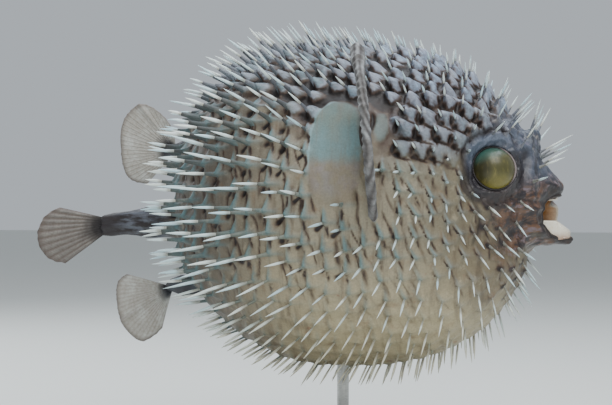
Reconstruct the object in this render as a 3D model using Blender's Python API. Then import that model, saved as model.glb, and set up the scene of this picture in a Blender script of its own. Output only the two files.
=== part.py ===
"""Porcupine pufferfish, dried fully inflated, held up by a plain display stand.

Metres, +Z up. The fish faces +X and is symmetrical about the XZ plane. The origin is the centre of
the stand's underside. Shapes of the fish are written from the centre of its ball-shaped body and are
lifted to BODY_CENTRE when they are placed.
"""

import math

import bmesh
import bpy
from mathutils import Matrix, Vector

# Inflated body: a ball with round cross-sections. Seen from the side it is squarer than an ellipse,
# except low at the back, and it bulges forwards above and below the head.
BODY_SEMI_AXES = Vector((0.084, 0.080, 0.079))
BODY_BULGE = 0.010
BODY_ROUND = 2.05
BODY_SQUARE = 2.40
BODY_SQUARE_REAR = 2.25
BODY_CENTRE = Vector((0.0, 0.0, 0.130))

# Clearance between neighbouring pieces, and where the head meets the trunk.
GAP = 0.0003
NECK_X = 0.046

# Skull, cheeks and snout, from inside the ball to the lips: x, z, half width, half height.
HEAD_SECTIONS = (
    (0.0400, 0.0080, 0.0500, 0.0480),
    (0.0600, 0.0080, 0.0480, 0.0450),
    (0.0680, 0.0068, 0.0440, 0.0385),
    (0.0770, 0.0065, 0.0390, 0.0335),
    (0.0860, 0.0080, 0.0325, 0.0312),
    (0.0905, 0.0086, 0.0288, 0.0300),
    (0.0960, 0.0083, 0.0246, 0.0283),
    (0.0974, 0.0063, 0.0232, 0.0263),
    (0.0983, 0.0018, 0.0220, 0.0218),
    (0.1035, -0.0015, 0.0182, 0.0185),
    (0.1075, -0.0034, 0.0150, 0.0163),
    (0.1092, -0.0047, 0.0136, 0.0149),
    (0.1100, -0.0068, 0.0128, 0.0128),
    (0.1120, -0.0085, 0.0104, 0.0107),
    (0.1138, -0.0098, 0.0076, 0.0078),
)
HEAD_SIDES = 20

# The open mouth, and the line that parts the lower jaw from the cheek: outlines (x, z).
MOUTH_OUTLINE = (
    (0.0990, -0.0060),
    (0.0990, 0.0015),
    (0.1030, 0.0045),
    (0.1092, 0.0056),
    (0.1300, 0.0080),
    (0.1300, -0.0175),
    (0.1130, -0.0160),
    (0.1070, -0.0150),
    (0.1030, -0.0118),
)
JAW_BACK = Vector((0.0925, 0, -0.0112))
JAW_FRONT = Vector((0.1300, 0, 0.0111))
# The mouth opens a little to the right: its corner lies further forward on the left, by this share of Y
# from the right corner, whose distance from the middle is next.
MOUTH_SKEW = 0.17
MOUTH_CORNER_Y = 0.0131
MOUTH_ROOM_CENTRE = Vector((0.0960, 0, -0.0045))
MOUTH_ROOM_SEMI_AXES = Vector((0.0150, 0.0100, 0.0095))

# Beak: in each jaw the teeth are one plate, bent round the front of the mouth.
LOWER_BEAK_CENTRE_X = 0.0920
UPPER_BEAK_CENTRE_X = 0.0860
BEAK_LENGTH = 0.0212
BEAK_HALF_WIDTH = 0.0112
BEAK_THICKNESS = 0.0026
LOWER_BEAK_OUTLINE = ((0.1002, -0.0064), (0.1055, -0.0066), (0.1150, -0.0126), (0.1150, -0.0172), (0.1002, -0.0172))
UPPER_BEAK_OUTLINE = ((0.0960, 0.0030), (0.1100, 0.0030), (0.1100, 0.0085), (0.0960, 0.0085))

# Eyes.
EYE_CENTRE = Vector((0.0775, 0.0345, 0.0175))
EYE_RADIUS = 0.0105

# Spines: rings about the X axis, each ring set half a step round from the last.
SPINE_SPACING = 0.0127
SPINE_SWEEP = math.radians(30)
SPINE_SINK = 0.0012
SPINE_LENGTH_HEAD = 0.0105
SPINE_LENGTH_REAR = 0.0225
SPINE_LENGTH_BELLY = 0.0120
SPINE_SHORTER_ON_BACK = 0.16
SPINE_SHORTER_AT_REAR = 0.24
SPINE_LENGTH_FOREHEAD = 0.0200
ROOT_RADIUS = 0.0011
# How uneven the spines are, at most: their place as a share of a step, their lean, and their length.
UNEVEN_PLACE = 0.10
UNEVEN_LEAN = math.radians(5)
UNEVEN_LENGTH = 0.13

# Fleshy tail stalk: x, z, half width, half height.
STALK_SECTIONS = (
    (-0.070, -0.0055, 0.0120, 0.0130),
    (-0.085, -0.0068, 0.0088, 0.0098),
    (-0.095, -0.0074, 0.0068, 0.0080),
    (-0.110, -0.0082, 0.0048, 0.0067),
    (-0.121, -0.0090, 0.0034, 0.0058),
    (-0.1265, -0.0095, 0.0026, 0.0051),
)

# Fins: a fan of rays from a root. Angles run from +X towards +Z, and lengths along each ray.
FIN_THICKNESS = 0.0010
FIN_RAYS = 12
DORSAL_ROOT = Vector((-0.0870, 0, 0.0280))
DORSAL_FAN = ((98, 0.0110), (111, 0.0205), (126, 0.0320), (148, 0.0326), (178, 0.0290), (207, 0.0290), (226, 0.0225))
ANAL_ROOT = Vector((-0.0885, 0, -0.0410))
ANAL_FAN = ((166, 0.0260), (174, 0.0300), (195, 0.0310), (220, 0.0335), (240, 0.0335), (254, 0.0220))
CAUDAL_ROOT = Vector((-0.1162, 0, -0.0076))
CAUDAL_FAN = ((168, 0.0350), (174, 0.0412), (186, 0.0460), (194, 0.0468), (202, 0.0460), (209, 0.0430), (215, 0.0375))
FIN_FOOT_SEMI_AXES = Vector((0.0130, 0.0036, 0.0050))

# Pectoral fins: a pleated fan that stands out sideways from just behind the gill slit.
PECTORAL_ROOT = Vector((0.0235, 0.0680, 0.0340))
PECTORAL_FAN = ((-74, 0.0360), (-66, 0.0415), (-35, 0.0410), (0, 0.0400), (40, 0.0410), (74, 0.0420), (84, 0.0350))
PECTORAL_RAYS = 20
PECTORAL_PLEAT = 0.0013
PECTORAL_TURN = math.radians(7)
PECTORAL_LEAN = math.radians(6)

# Stand.
BASE_RADIUS = 0.075
BASE_THICKNESS = 0.012
BASE_EDGE = 0.002
ROD_RADIUS = 0.003
ROD_IN_BELLY = 0.018
ROD_IN_BASE = 0.006
COLLAR_RADIUS = 0.008
COLLAR_HEIGHT = 0.005

# Colours and gloss of the real thing: (red, green, blue), roughness, metallic.
FINISHES = {
    "skin": ((0.30, 0.28, 0.22), 0.55, 0.0),
    "fin": ((0.32, 0.31, 0.27), 0.60, 0.0),
    "eye": ((0.12, 0.12, 0.04), 0.08, 0.0),
    "beak": ((0.78, 0.76, 0.66), 0.30, 0.0),
    "base": ((0.035, 0.035, 0.038), 0.45, 0.0),
    "rod": ((0.62, 0.62, 0.60), 0.30, 1.0),
}


def clear_scene():
    for obj in list(bpy.data.objects):
        bpy.data.objects.remove(obj)


def make_material(owner, finish):
    """A Principled material for one object."""
    colour, roughness, metallic = FINISHES[finish]
    made = bpy.data.materials.new(f"{owner}_{finish}")
    made.use_nodes = True
    shader = made.node_tree.nodes["Principled BSDF"]
    shader.inputs["Base Color"].default_value = (*colour, 1.0)
    shader.inputs["Roughness"].default_value = roughness
    shader.inputs["Metallic"].default_value = metallic
    return made


def add_object(name, bm, finish="skin", origin=BODY_CENTRE, helper=False, sharp=35):
    """Makes an object of bm, whose shape is written from origin."""
    mesh = bpy.data.meshes.new(name)
    bmesh.ops.recalc_face_normals(bm, faces=bm.faces)
    bm.to_mesh(mesh)
    bm.free()
    mesh.shade_smooth()
    mesh.set_sharp_from_angle(angle=math.radians(sharp))
    obj = bpy.data.objects.new(name, mesh)
    obj.location = origin
    obj.data.materials.append(make_material(name, finish))
    obj.hide_render = helper
    obj.display_type = "WIRE" if helper else "TEXTURED"
    bpy.context.scene.collection.objects.link(obj)
    return obj


def helper(name, bm, origin=BODY_CENTRE):
    return add_object(name, bm, origin=origin, helper=True)


def boolean(obj, other, operation):
    """Adds an exact Boolean with a helper object."""
    modifier = obj.modifiers.new(f"{operation.lower()}_{other.name}", "BOOLEAN")
    modifier.operation = operation
    modifier.solver = "EXACT"
    modifier.object = other


def ellipsoid(semi_axes, centre=Vector((0, 0, 0)), segments=28, rings=18):
    """A closed ellipsoid with its poles on the X axis."""
    bm = bmesh.new()
    turn = Matrix.Rotation(math.radians(90), 4, "Y")
    place = Matrix.Translation(centre) @ Matrix.Diagonal((*semi_axes, 1)) @ turn
    bmesh.ops.create_uvsphere(bm, u_segments=segments, v_segments=rings, radius=1, matrix=place)
    return bm


def cylinder(radius, bottom, top, sides):
    """An upright cylinder between two heights."""
    bm = bmesh.new()
    place = Matrix.Translation((0, 0, (bottom + top) / 2))
    bmesh.ops.create_cone(
        bm, cap_ends=True, segments=sides, radius1=radius, radius2=radius, depth=top - bottom, matrix=place
    )
    return bm


def loft(sections, sides):
    """A closed tube through elliptical sections (x, z, half width, half height) along X."""
    bm = bmesh.new()
    rings = []
    for x, z, half_width, half_height in sections:
        ring = []
        for k in range(sides):
            around = (k + 0.5) * 2 * math.pi / sides
            ring.append(bm.verts.new((x, half_width * math.sin(around), z + half_height * math.cos(around))))
        rings.append(ring)
    for near, far in zip(rings, rings[1:]):
        for k in range(sides):
            n = (k + 1) % sides
            bm.faces.new((near[k], near[n], far[n], far[k]))
    bm.faces.new(rings[0])
    bm.faces.new(rings[-1])
    return bm


def outline_slab(points, half_width):
    """A slab with the outline points (x, z), reaching half_width to each side of the XZ plane."""
    bm = bmesh.new()
    face = bm.faces.new([bm.verts.new((x, -half_width, z)) for x, z in points])
    pushed = bmesh.ops.extrude_face_region(bm, geom=[face])["geom"]
    pushed = [v for v in pushed if isinstance(v, bmesh.types.BMVert)]
    bmesh.ops.translate(bm, verts=pushed, vec=(0, 2 * half_width, 0))
    return bm


def smooth_step(low, high, value):
    t = min(1.0, max(0.0, (value - low) / (high - low)))
    return t * t * (3 - 2 * t)


def interpolate(table, value):
    """Reads a table of (place, amount) at value, with straight lines between its rows."""
    for (low, start), (high, end) in zip(table, table[1:]):
        if value <= high:
            t = max(0.0, (value - low) / (high - low))
            return start + (end - start) * t
    return table[-1][1]


def uneven(index, salt):
    """A number from -1 to 1 that is the same each time, so that no two spines are quite alike."""
    wave = math.sin(index * 12.9898 + salt * 78.233) * 43758.5453
    return 2 * (wave - math.floor(wave)) - 1


def lattice():
    """Unit directions in staggered rings about the X axis, about one step of SPINE_SPACING apart."""
    radius = BODY_SEMI_AXES.x
    ring_step = SPINE_SPACING * math.sin(math.radians(60)) / radius
    ring_count = round(math.pi / ring_step)
    found = []
    for ring in range(1, ring_count):
        level = ring * math.pi / ring_count
        count = 2 * max(2, round(math.pi * radius * math.sin(level) / SPINE_SPACING))
        for k in range(count):
            index = len(found)
            around = (k + 0.5 * (ring % 2) + UNEVEN_PLACE * uneven(index, 1)) * 2 * math.pi / count
            from_snout = level + UNEVEN_PLACE * uneven(index, 2) * ring_step
            side, up = math.sin(around), math.cos(around)
            found.append(Vector((math.cos(from_snout), side * math.sin(from_snout), up * math.sin(from_snout))))
    return found


def ball_shape(direction):
    """How far forwards and how square the ball is in a direction: (semi-axis along X, exponent)."""
    upright = smooth_step(0.2, 0.8, abs(direction.z) / max(1e-9, math.hypot(direction.y, direction.z)))
    rear = smooth_step(0.1, -0.5, direction.x)
    low_rear = smooth_step(0.1, -0.5, direction.z) * rear
    square = BODY_SQUARE + (BODY_SQUARE_REAR - BODY_SQUARE) * rear
    length = BODY_SEMI_AXES.x + (BODY_BULGE * upright if direction.x > 0 else 0.0)
    return length, BODY_ROUND + (square - BODY_ROUND) * upright * (1 - low_rear)


def ball_point(direction):
    """Where a direction from its centre leaves the ball, and the ball's outward normal there."""
    length, power = ball_shape(direction)
    along = abs(direction.x) / length
    round_part = math.hypot(direction.y / BODY_SEMI_AXES.y, direction.z / BODY_SEMI_AXES.z)
    distance = (along**power + round_part**power) ** (-1 / power)
    widen = round_part ** (power - 2)
    normal = Vector(
        (
            math.copysign(along ** (power - 1) / length, direction.x),
            widen * direction.y / BODY_SEMI_AXES.y**2,
            widen * direction.z / BODY_SEMI_AXES.z**2,
        )
    )
    return direction * distance, normal.normalized()


def head_point(direction):
    """Where a direction from the ball's centre leaves the head, and the head's outward normal there."""
    best = None
    for (x0, z0, w0, h0), (x1, z1, w1, h1) in zip(HEAD_SECTIONS, HEAD_SECTIONS[1:]):
        for step in range(9):
            t = step / 8
            x, z, w, h = (a + (b - a) * t for a, b in ((x0, x1), (z0, z1), (w0, w1), (h0, h1)))
            if direction.x <= 0.05:
                continue
            scale = x / direction.x
            excess = ((direction.y * scale) / w) ** 2 + ((direction.z * scale - z) / h) ** 2 - 1
            if excess < 0 and (best is None or scale > best[0]):
                slope_w, slope_z, slope_h = (w1 - w0) / (x1 - x0), (z1 - z0) / (x1 - x0), (h1 - h0) / (x1 - x0)
                across, over = direction.y * scale / w, (direction.z * scale - z) / h
                along = -(across * across * slope_w / w + over * (slope_z + over * slope_h) / h)
                best = (scale, Vector((along, across / w, over / h)).normalized())
    return (direction * best[0], best[1]) if best else (Vector((0, 0, 0)), direction)


def skin_point(direction):
    """The outer of ball and head in a direction from the ball's centre, with its outward normal."""
    return max(ball_point(direction), head_point(direction), key=lambda found: found[0].length)


def spine_length(direction):
    """Short on the head, cheeks and belly, long behind the pectoral fins and on the forehead."""
    back = smooth_step(0.2, 0.7, direction.z)
    rearward = smooth_step(0.10 + 0.45 * back, -0.50, direction.x)
    length = SPINE_LENGTH_HEAD + (SPINE_LENGTH_REAR - SPINE_LENGTH_HEAD) * rearward
    length *= 1 - SPINE_SHORTER_ON_BACK * back
    length *= 1 - SPINE_SHORTER_AT_REAR * smooth_step(-0.55, -0.90, direction.x)
    length += (SPINE_LENGTH_BELLY - length) * smooth_step(-0.20, -0.90, direction.z)
    forehead = smooth_step(0.80, 0.90, direction.x) * smooth_step(0.12, 0.28, direction.z)
    return length + (SPINE_LENGTH_FOREHEAD - length) * forehead


def spine_axis(direction, normal):
    """The skin's normal swept towards the tail, less so near the tail and not at all on the forehead."""
    forehead = smooth_step(0.80, 0.90, direction.x)
    sweep = SPINE_SWEEP * (1 - forehead) * smooth_step(-0.99, -0.80, direction.x)
    tailward = Vector((-1, 0, 0))
    tailward = (tailward - normal * tailward.dot(normal)).normalized()
    return normal * math.cos(sweep) + tailward * math.sin(sweep)


def grows_spine(point, tip):
    """False where the skin is bare, or where a spine would run into an eye, a fin, the stalk or the rod."""
    bare = (
        # centre, radii along X, Y and Z
        (EYE_CENTRE, (0.0145, 0.0145, 0.0140)),  # eyelids
        (Vector((0.100, 0, -0.003)), (0.022, 0.027, 0.0245)),  # lips and snout
        (Vector((0.034, 0.066, 0.034)), (0.0085, 0.030, 0.0180)),  # flap in front of the gill slit
        (PECTORAL_ROOT, (0.0100, 0.030, 0.0240)),  # root of the pectoral fin
        (Vector((0.0270, 0.080, 0.000)), (0.0090, 0.020, 0.0130)),  # lower edge of the pectoral fin
        (Vector((0.0095, 0.074, 0.026)), (0.0125, 0.030, 0.0270)),  # patch that the pectoral fin covers
        (Vector((-0.086, 0, -0.006)), (0.014, 0.0150, 0.0165)),  # tail stalk
        (Vector((-0.082, 0, 0.027)), (0.014, 0.0085, 0.0105)),  # dorsal fin
        (Vector((-0.076, 0, -0.040)), (0.014, 0.0085, 0.0105)),  # anal fin
        (Vector((0, 0, -0.079)), (0.0060, 0.0060, 0.010)),  # rod
    )
    for share in (0.0, 0.3, 0.6, 1.0):
        probe = point.lerp(tip, share)
        probe.y = abs(probe.y)
        for centre, radii in bare:
            if sum(((p - c) / r) ** 2 for p, c, r in zip(probe, centre, radii)) < 1:
                return False
    return not (tip.x < -0.080 and abs(tip.y) < 0.004)


def spine(index, direction):
    """(root, axis, tip) of the spine in one direction, or None where none grows."""
    point, normal = skin_point(direction)
    lean = Vector((uneven(index, 3), uneven(index, 4), uneven(index, 5))) * math.tan(UNEVEN_LEAN)
    axis = (spine_axis(direction, normal) + lean).normalized()
    tip = point + axis * spine_length(direction) * (1 + UNEVEN_LENGTH * uneven(index, 6))
    return (point, axis, tip) if grows_spine(point, tip) else None


def is_on_ball(point):
    return (ball_point(point.normalized())[0] - point).length < 0.0001


def root_triangle(point, normal):
    """Three unit directions round a spine's root."""
    along = normal.orthogonal().normalized()
    across = normal.cross(along)
    ring = []
    for k in range(3):
        around = k * 2 * math.pi / 3
        offset = (along * math.cos(around) + across * math.sin(around)) * ROOT_RADIUS
        ring.append((point + offset).normalized())
    return ring


def spiny_ball(wanted, grow=0.0):
    """The ball, laced between its spines' roots. The spines wanted(x) accepts are drawn out of it.

    The lacing is the hull of the roots' directions on a unit ball, before they go out to the skin.
    """
    bm = bmesh.new()
    roots = []
    for index, direction in enumerate(lattice()):
        point, normal = ball_point(direction)
        grown = spine(index, direction)
        if grown and wanted(point.x) and is_on_ball(grown[0]):
            ring = [bm.verts.new(d) for d in root_triangle(point, normal)]
            roots.append((ring, grown[2]))
        else:
            bm.verts.new(direction)
    for end in (1, -1):
        bm.verts.new((end, 0, 0))
    bmesh.ops.convex_hull(bm, input=bm.verts[:])
    for vert in bm.verts:
        point, normal = ball_point(vert.co.normalized())
        vert.co = point + normal * grow
    for ring, tip in roots:
        face = bm.faces.get(ring)
        if face:
            bmesh.ops.poke(bm, faces=[face])["verts"][0].co = tip
    return bm


def skull_spines():
    """The spines of skull and cheeks, each a slim three-sided pyramid sunk a little into the skin."""
    bm = bmesh.new()
    for index, direction in enumerate(lattice()):
        grown = spine(index, direction)
        if not grown or is_on_ball(grown[0]):
            continue
        root, axis, tip = grown
        place = Matrix.Translation(root - axis * SPINE_SINK) @ axis.to_track_quat("Z", "X").to_matrix().to_4x4()
        ring = bmesh.ops.create_circle(bm, segments=3, radius=ROOT_RADIUS, cap_ends=True, matrix=place)["verts"]
        face = next(f for f in ring[0].link_faces)
        top = bmesh.ops.extrude_face_region(bm, geom=[face])["geom"]
        top = [v for v in top if isinstance(v, bmesh.types.BMVert)]
        bmesh.ops.pointmerge(bm, verts=top, merge_co=tip)
    return helper("skull_spines", bm)


def half_space(name, x_from, x_to):
    """A box between two planes across X, wide and high enough to hold the fish."""
    bm = bmesh.new()
    place = Matrix.Translation(((x_from + x_to) / 2, 0, 0)) @ Matrix.Diagonal((x_to - x_from, 0.4, 0.4, 1))
    bmesh.ops.create_cube(bm, size=1, matrix=place)
    return helper(name, bm)


def build_trunk():
    """The ball behind the neck, with its spines and a blind hole for the rod."""
    trunk = add_object("trunk", spiny_ball(lambda x: x < NECK_X - 0.0020))
    boolean(trunk, half_space("front_cutter", NECK_X - GAP / 2, 0.2), "DIFFERENCE")
    hole_top = -BODY_SEMI_AXES.z + ROD_IN_BELLY + GAP
    hole = cylinder(ROD_RADIUS + GAP, -BODY_SEMI_AXES.z - 0.01, hole_top, 12)
    boolean(trunk, helper("rod_hole", hole), "DIFFERENCE")


def jaw_block(name, margin):
    """Everything below the line from the corner of the mouth back under the cheek, grown by margin."""
    back = JAW_BACK - Vector((margin, 0, 0))
    points = (
        (back.x, back.z + margin),
        (JAW_FRONT.x, JAW_FRONT.z + margin),
        (JAW_FRONT.x, -0.08),
        (back.x, -0.08),
    )
    return helper(name, outline_slab(points, 0.04))


def beak_plate(name, outline, centre_x, margin=0.0):
    """A bent plate of the beak, grown by margin when it cuts its own groove."""
    size = Vector((BEAK_LENGTH + margin, BEAK_HALF_WIDTH + margin, 0))
    inner = size - Vector((1, 1, 0)) * (BEAK_THICKNESS + 2 * margin)
    low = min(z for _, z in outline) - 0.005
    high = max(z for _, z in outline) + 0.005
    walls = []
    for part, semi_axes in (("outer", size), ("inner", inner)):
        bm = cylinder(1, low, high, 24)
        place = Matrix.Translation((centre_x, 0, 0)) @ Matrix.Diagonal((semi_axes.x, semi_axes.y, 1, 1))
        bmesh.ops.transform(bm, matrix=place, verts=bm.verts)
        walls.append((part, bm))
    whole = margin > 0
    plate = add_object(name, walls[0][1], "beak", helper=whole)
    boolean(plate, helper(f"{name}_inner", walls[1][1]), "DIFFERENCE")
    middle_x = sum(x for x, _ in outline) / len(outline)
    middle_z = sum(z for _, z in outline) / len(outline)
    grown = [(x + math.copysign(margin, x - middle_x), z + math.copysign(margin, z - middle_z)) for x, z in outline]
    boolean(plate, helper(f"{name}_limits", outline_slab(grown, 0.03)), "INTERSECT")
    return plate


def build_head():
    """Skull, cheeks and upper jaw with the eyes; the lower jaw; and both plates of the beak."""
    opening = outline_slab(MOUTH_OUTLINE, 0.03)
    for vert in opening.verts:
        vert.co.x += MOUTH_SKEW * (vert.co.y + MOUTH_CORNER_Y)
    mouth = helper("mouth_outline", opening)
    room = helper("mouth_room", ellipsoid(MOUTH_ROOM_SEMI_AXES, MOUTH_ROOM_CENTRE, 16, 10))
    head = add_object("head", spiny_ball(lambda x: x > NECK_X + 0.0020))
    boolean(head, helper("head_loft", loft(HEAD_SECTIONS, HEAD_SIDES)), "UNION")
    boolean(head, half_space("neck_cutter", -0.2, NECK_X + GAP / 2), "DIFFERENCE")
    boolean(head, skull_spines(), "UNION")
    boolean(head, jaw_block("jaw_cutter", GAP), "DIFFERENCE")
    boolean(head, mouth, "DIFFERENCE")
    boolean(head, room, "DIFFERENCE")

    lower_jaw = add_object("lower_jaw", loft(HEAD_SECTIONS, HEAD_SIDES))
    boolean(lower_jaw, jaw_block("jaw_limits", 0.0), "INTERSECT")
    boolean(lower_jaw, mouth, "DIFFERENCE")
    boolean(lower_jaw, room, "DIFFERENCE")

    for owner, name, outline, centre_x in (
        (lower_jaw, "beak_lower", LOWER_BEAK_OUTLINE, LOWER_BEAK_CENTRE_X),
        (head, "beak_upper", UPPER_BEAK_OUTLINE, UPPER_BEAK_CENTRE_X),
    ):
        beak_plate(name, outline, centre_x)
        boolean(owner, beak_plate(f"{name}_groove", outline, centre_x, GAP), "DIFFERENCE")

    for side, sign in (("left", 1), ("right", -1)):
        centre = Vector((EYE_CENTRE.x, sign * EYE_CENTRE.y, EYE_CENTRE.z))
        socket = ellipsoid(Vector((1, 1, 1)) * (EYE_RADIUS + GAP), centre, 14, 10)
        boolean(head, helper(f"socket_{side}", socket), "DIFFERENCE")
        add_object(f"eye_{side}", ellipsoid(Vector((1, 1, 1)) * EYE_RADIUS, centre, 14, 10), "eye")


def fan(root, table, rays, place, pleat):
    """A pleated fan of rays: thick and narrow at its root, FIN_THICKNESS at its edge."""
    bm = bmesh.new()
    rings = ((0.10, 2.6), (0.45, 1.5), (1.0, 1.0))
    start, end = table[0][0], table[-1][0]
    grid = {}
    for ray in range(rays + 1):
        degrees = start + (end - start) * ray / rays
        length = interpolate(table, degrees)
        across = Vector((math.cos(math.radians(degrees)), 0, math.sin(math.radians(degrees))))
        for ring, (share, thickness) in enumerate(rings):
            wave = pleat * share * (1 if ray % 2 else -1)
            for side in (1, -1):
                offset = Vector((0, wave + side * thickness * FIN_THICKNESS / 2, 0))
                grid[ray, ring, side] = bm.verts.new(root + place @ (across * length * share + offset))
    last = len(rings) - 1
    for ray in range(rays):
        for ring in range(last):
            for side in (1, -1):
                corners = ((ray, ring), (ray + 1, ring), (ray + 1, ring + 1), (ray, ring + 1))
                bm.faces.new([grid[*corner, side] for corner in corners])
        for ring in (0, last):
            bm.faces.new([grid[ray, ring, 1], grid[ray + 1, ring, 1], grid[ray + 1, ring, -1], grid[ray, ring, -1]])
    for ray in (0, rays):
        for ring in range(last):
            bm.faces.new([grid[ray, ring, 1], grid[ray, ring + 1, 1], grid[ray, ring + 1, -1], grid[ray, ring, -1]])
    return bm


def build_tail():
    """The stalk, and the caudal, dorsal and anal fins. The last two have fleshy feet on the body."""
    body = helper("body_clearance", spiny_ball(lambda x: False, GAP))
    stalk = add_object("tail_peduncle", loft(STALK_SECTIONS, 14))
    boolean(stalk, body, "DIFFERENCE")

    caudal = add_object("caudal_fin", fan(CAUDAL_ROOT, CAUDAL_FAN, FIN_RAYS, Matrix.Identity(3), 0.0004), "fin")
    cut = STALK_SECTIONS[-1][0] - GAP
    boolean(caudal, half_space("stalk_end", cut, 0.05), "DIFFERENCE")

    for name, root, table, foot in (
        ("dorsal_fin", DORSAL_ROOT, DORSAL_FAN, Vector((-0.0810, 0, 0.0275))),
        ("anal_fin", ANAL_ROOT, ANAL_FAN, Vector((-0.0800, 0, -0.0400))),
    ):
        fin = add_object(name, fan(root, table, FIN_RAYS, Matrix.Identity(3), 0.0004), "fin")
        boolean(fin, helper(f"{name}_foot", ellipsoid(FIN_FOOT_SEMI_AXES, foot, 10, 8)), "UNION")
        boolean(fin, body, "DIFFERENCE")
    return body


def build_pectorals(body):
    """Both pectoral fins, standing out from the flanks."""
    for side, sign in (("left", 1), ("right", -1)):
        root = Vector((PECTORAL_ROOT.x, sign * PECTORAL_ROOT.y, PECTORAL_ROOT.z))
        outward = Vector((math.sin(PECTORAL_TURN), sign * math.cos(PECTORAL_TURN), 0))
        up = Vector((-math.sin(PECTORAL_LEAN), 0, math.cos(PECTORAL_LEAN)))
        up = (up - outward * up.dot(outward)).normalized()
        place = Matrix((outward, outward.cross(up), up)).transposed()
        fin = add_object(f"pectoral_fin_{side}", fan(root, PECTORAL_FAN, PECTORAL_RAYS, place, PECTORAL_PLEAT), "fin")
        foot = ellipsoid(Vector((0.0032, 0.0060, 0.0120)), root, 10, 8)
        boolean(fin, helper(f"pectoral_foot_{side}", foot), "UNION")
        boolean(fin, body, "DIFFERENCE")


def build_stand():
    """A flat round base and one upright rod, set in a hole in each."""
    ground = Vector((0, 0, 0))
    bm = cylinder(BASE_RADIUS, 0, BASE_THICKNESS, 56)
    rim = [e for e in bm.edges if all(v.co.z > BASE_THICKNESS / 2 for v in e.verts) and len(e.link_faces) == 2]
    rim = [e for e in rim if any(len(f.verts) > 4 for f in e.link_faces)]
    bmesh.ops.bevel(bm, geom=rim, offset=BASE_EDGE, segments=2, profile=0.5, affect="EDGES", material=-1)
    base = add_object("stand_base", bm, "base", ground)
    floor_of_hole = BASE_THICKNESS - ROD_IN_BASE - GAP
    hole = cylinder(ROD_RADIUS + GAP, floor_of_hole, BASE_THICKNESS + 0.01, 12)
    boolean(base, helper("base_hole", hole, ground), "DIFFERENCE")

    top = BODY_CENTRE.z - BODY_SEMI_AXES.z + ROD_IN_BELLY
    rod = add_object("stand_rod", cylinder(ROD_RADIUS, BASE_THICKNESS - ROD_IN_BASE, top, 12), "rod", ground)
    collar_base = BASE_THICKNESS + GAP
    collar = cylinder(COLLAR_RADIUS, collar_base, collar_base + COLLAR_HEIGHT, 24)
    boolean(rod, helper("rod_collar", collar, ground), "UNION")


def main():
    clear_scene()
    build_trunk()
    build_head()
    build_pectorals(build_tail())
    build_stand()


main()
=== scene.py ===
"""Porcupine pufferfish, dried fully inflated: its skin, spines, eyes, beak, fins and display stand.

Metres, +Z up. The fish faces +X and is symmetrical about the XZ plane. Its shapes are written from the
centre of its ball-shaped body and are lifted into place when a piece is made. Angles round the body
start at its back and grow towards +Y.
"""

import logging
import math
from dataclasses import dataclass, field
from enum import Enum

import bmesh
import bpy
import numpy as np
from mathutils import Matrix, Vector


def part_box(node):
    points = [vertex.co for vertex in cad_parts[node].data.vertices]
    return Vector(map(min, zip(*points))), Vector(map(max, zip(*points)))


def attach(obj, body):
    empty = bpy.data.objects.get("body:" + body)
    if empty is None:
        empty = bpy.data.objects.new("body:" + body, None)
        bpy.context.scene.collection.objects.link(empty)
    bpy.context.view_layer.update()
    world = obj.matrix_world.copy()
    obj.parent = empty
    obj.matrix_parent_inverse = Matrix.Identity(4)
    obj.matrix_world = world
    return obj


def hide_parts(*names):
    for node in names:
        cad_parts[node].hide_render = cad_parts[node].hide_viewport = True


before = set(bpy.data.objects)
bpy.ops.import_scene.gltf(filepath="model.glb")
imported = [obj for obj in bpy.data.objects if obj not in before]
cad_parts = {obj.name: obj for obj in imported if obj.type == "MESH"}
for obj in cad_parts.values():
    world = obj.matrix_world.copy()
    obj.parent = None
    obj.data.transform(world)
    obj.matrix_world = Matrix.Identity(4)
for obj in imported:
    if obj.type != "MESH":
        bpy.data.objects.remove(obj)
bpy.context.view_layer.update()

log = logging.getLogger("pufferfish")

Array = np.ndarray
Triple = tuple[float, float, float]
Colour = Triple
Socket = bpy.types.NodeSocket
MM = 0.001
TURN = 2 * math.pi


class Slot(Enum):
    """The record's material slots; only SKIN is read, to give the spines' sleeves the skin's masks."""

    SKIN = "skin"
    FIN = "fin"
    EYE = "eye"
    BEAK = "beak"


class Side(Enum):
    """The two flanks: the sign of Y."""

    LEFT = 1
    RIGHT = -1


# ---- numbers


def smooth(low: float, high: float, value: Array) -> Array:
    """Rises smoothly from 0 at low to 1 at high.

    Args:
        low: where the rise starts; it may be greater than high, for a fall.
        high: where it ends.
        value: what is measured.

    Returns:
        The smoothed share, of value's shape.
    """
    t = np.clip((np.asarray(value, float) - low) / (high - low), 0.0, 1.0)
    return t * t * (3 - 2 * t)


def bell(*shares: Array) -> Array:
    """Falls smoothly from 1 at the middle: to a third where one share of its half width is 1."""
    return np.exp(-sum(share**2 for share in shares))


def soft_max(a: Array, b: Array, width: float) -> Array:
    """The greater of two values, rounded where they are within width of each other."""
    share = np.clip(0.5 + 0.5 * (a - b) / width, 0.0, 1.0)
    return b + (a - b) * share + width * share * (1 - share)


def uneven(index: Array, salt: float) -> Array:
    """Numbers from -1 to 1 that are the same each time, one for each index."""
    wave = np.sin(np.asarray(index, float) * 12.9898 + salt * 78.233) * 43758.5453
    return 2 * (wave - np.floor(wave)) - 1


def ripple(points: Array, length: float, salt: int) -> Array:
    """Soft random waves from about -1 to 1 through space.

    Args:
        points: places, (..., 3).
        length: the waves' length.
        salt: picks another set of waves.

    Returns:
        One value for each place.
    """
    total = np.zeros(points.shape[:-1])
    for k in range(6):
        wave = np.array([uneven(k, salt + 0.1), uneven(k, salt + 0.2), uneven(k, salt + 0.3)])
        wave *= TURN / (length * np.linalg.norm(wave)) * (0.75 + 0.1 * k)
        total += np.sin(points @ wave + TURN * uneven(k, salt + 0.4))
    return total / 2.6


def unit(vectors: Array) -> Array:
    """Vectors, (..., 3), brought to length 1."""
    return vectors / np.maximum(1e-12, np.linalg.norm(vectors, axis=-1, keepdims=True))


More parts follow.
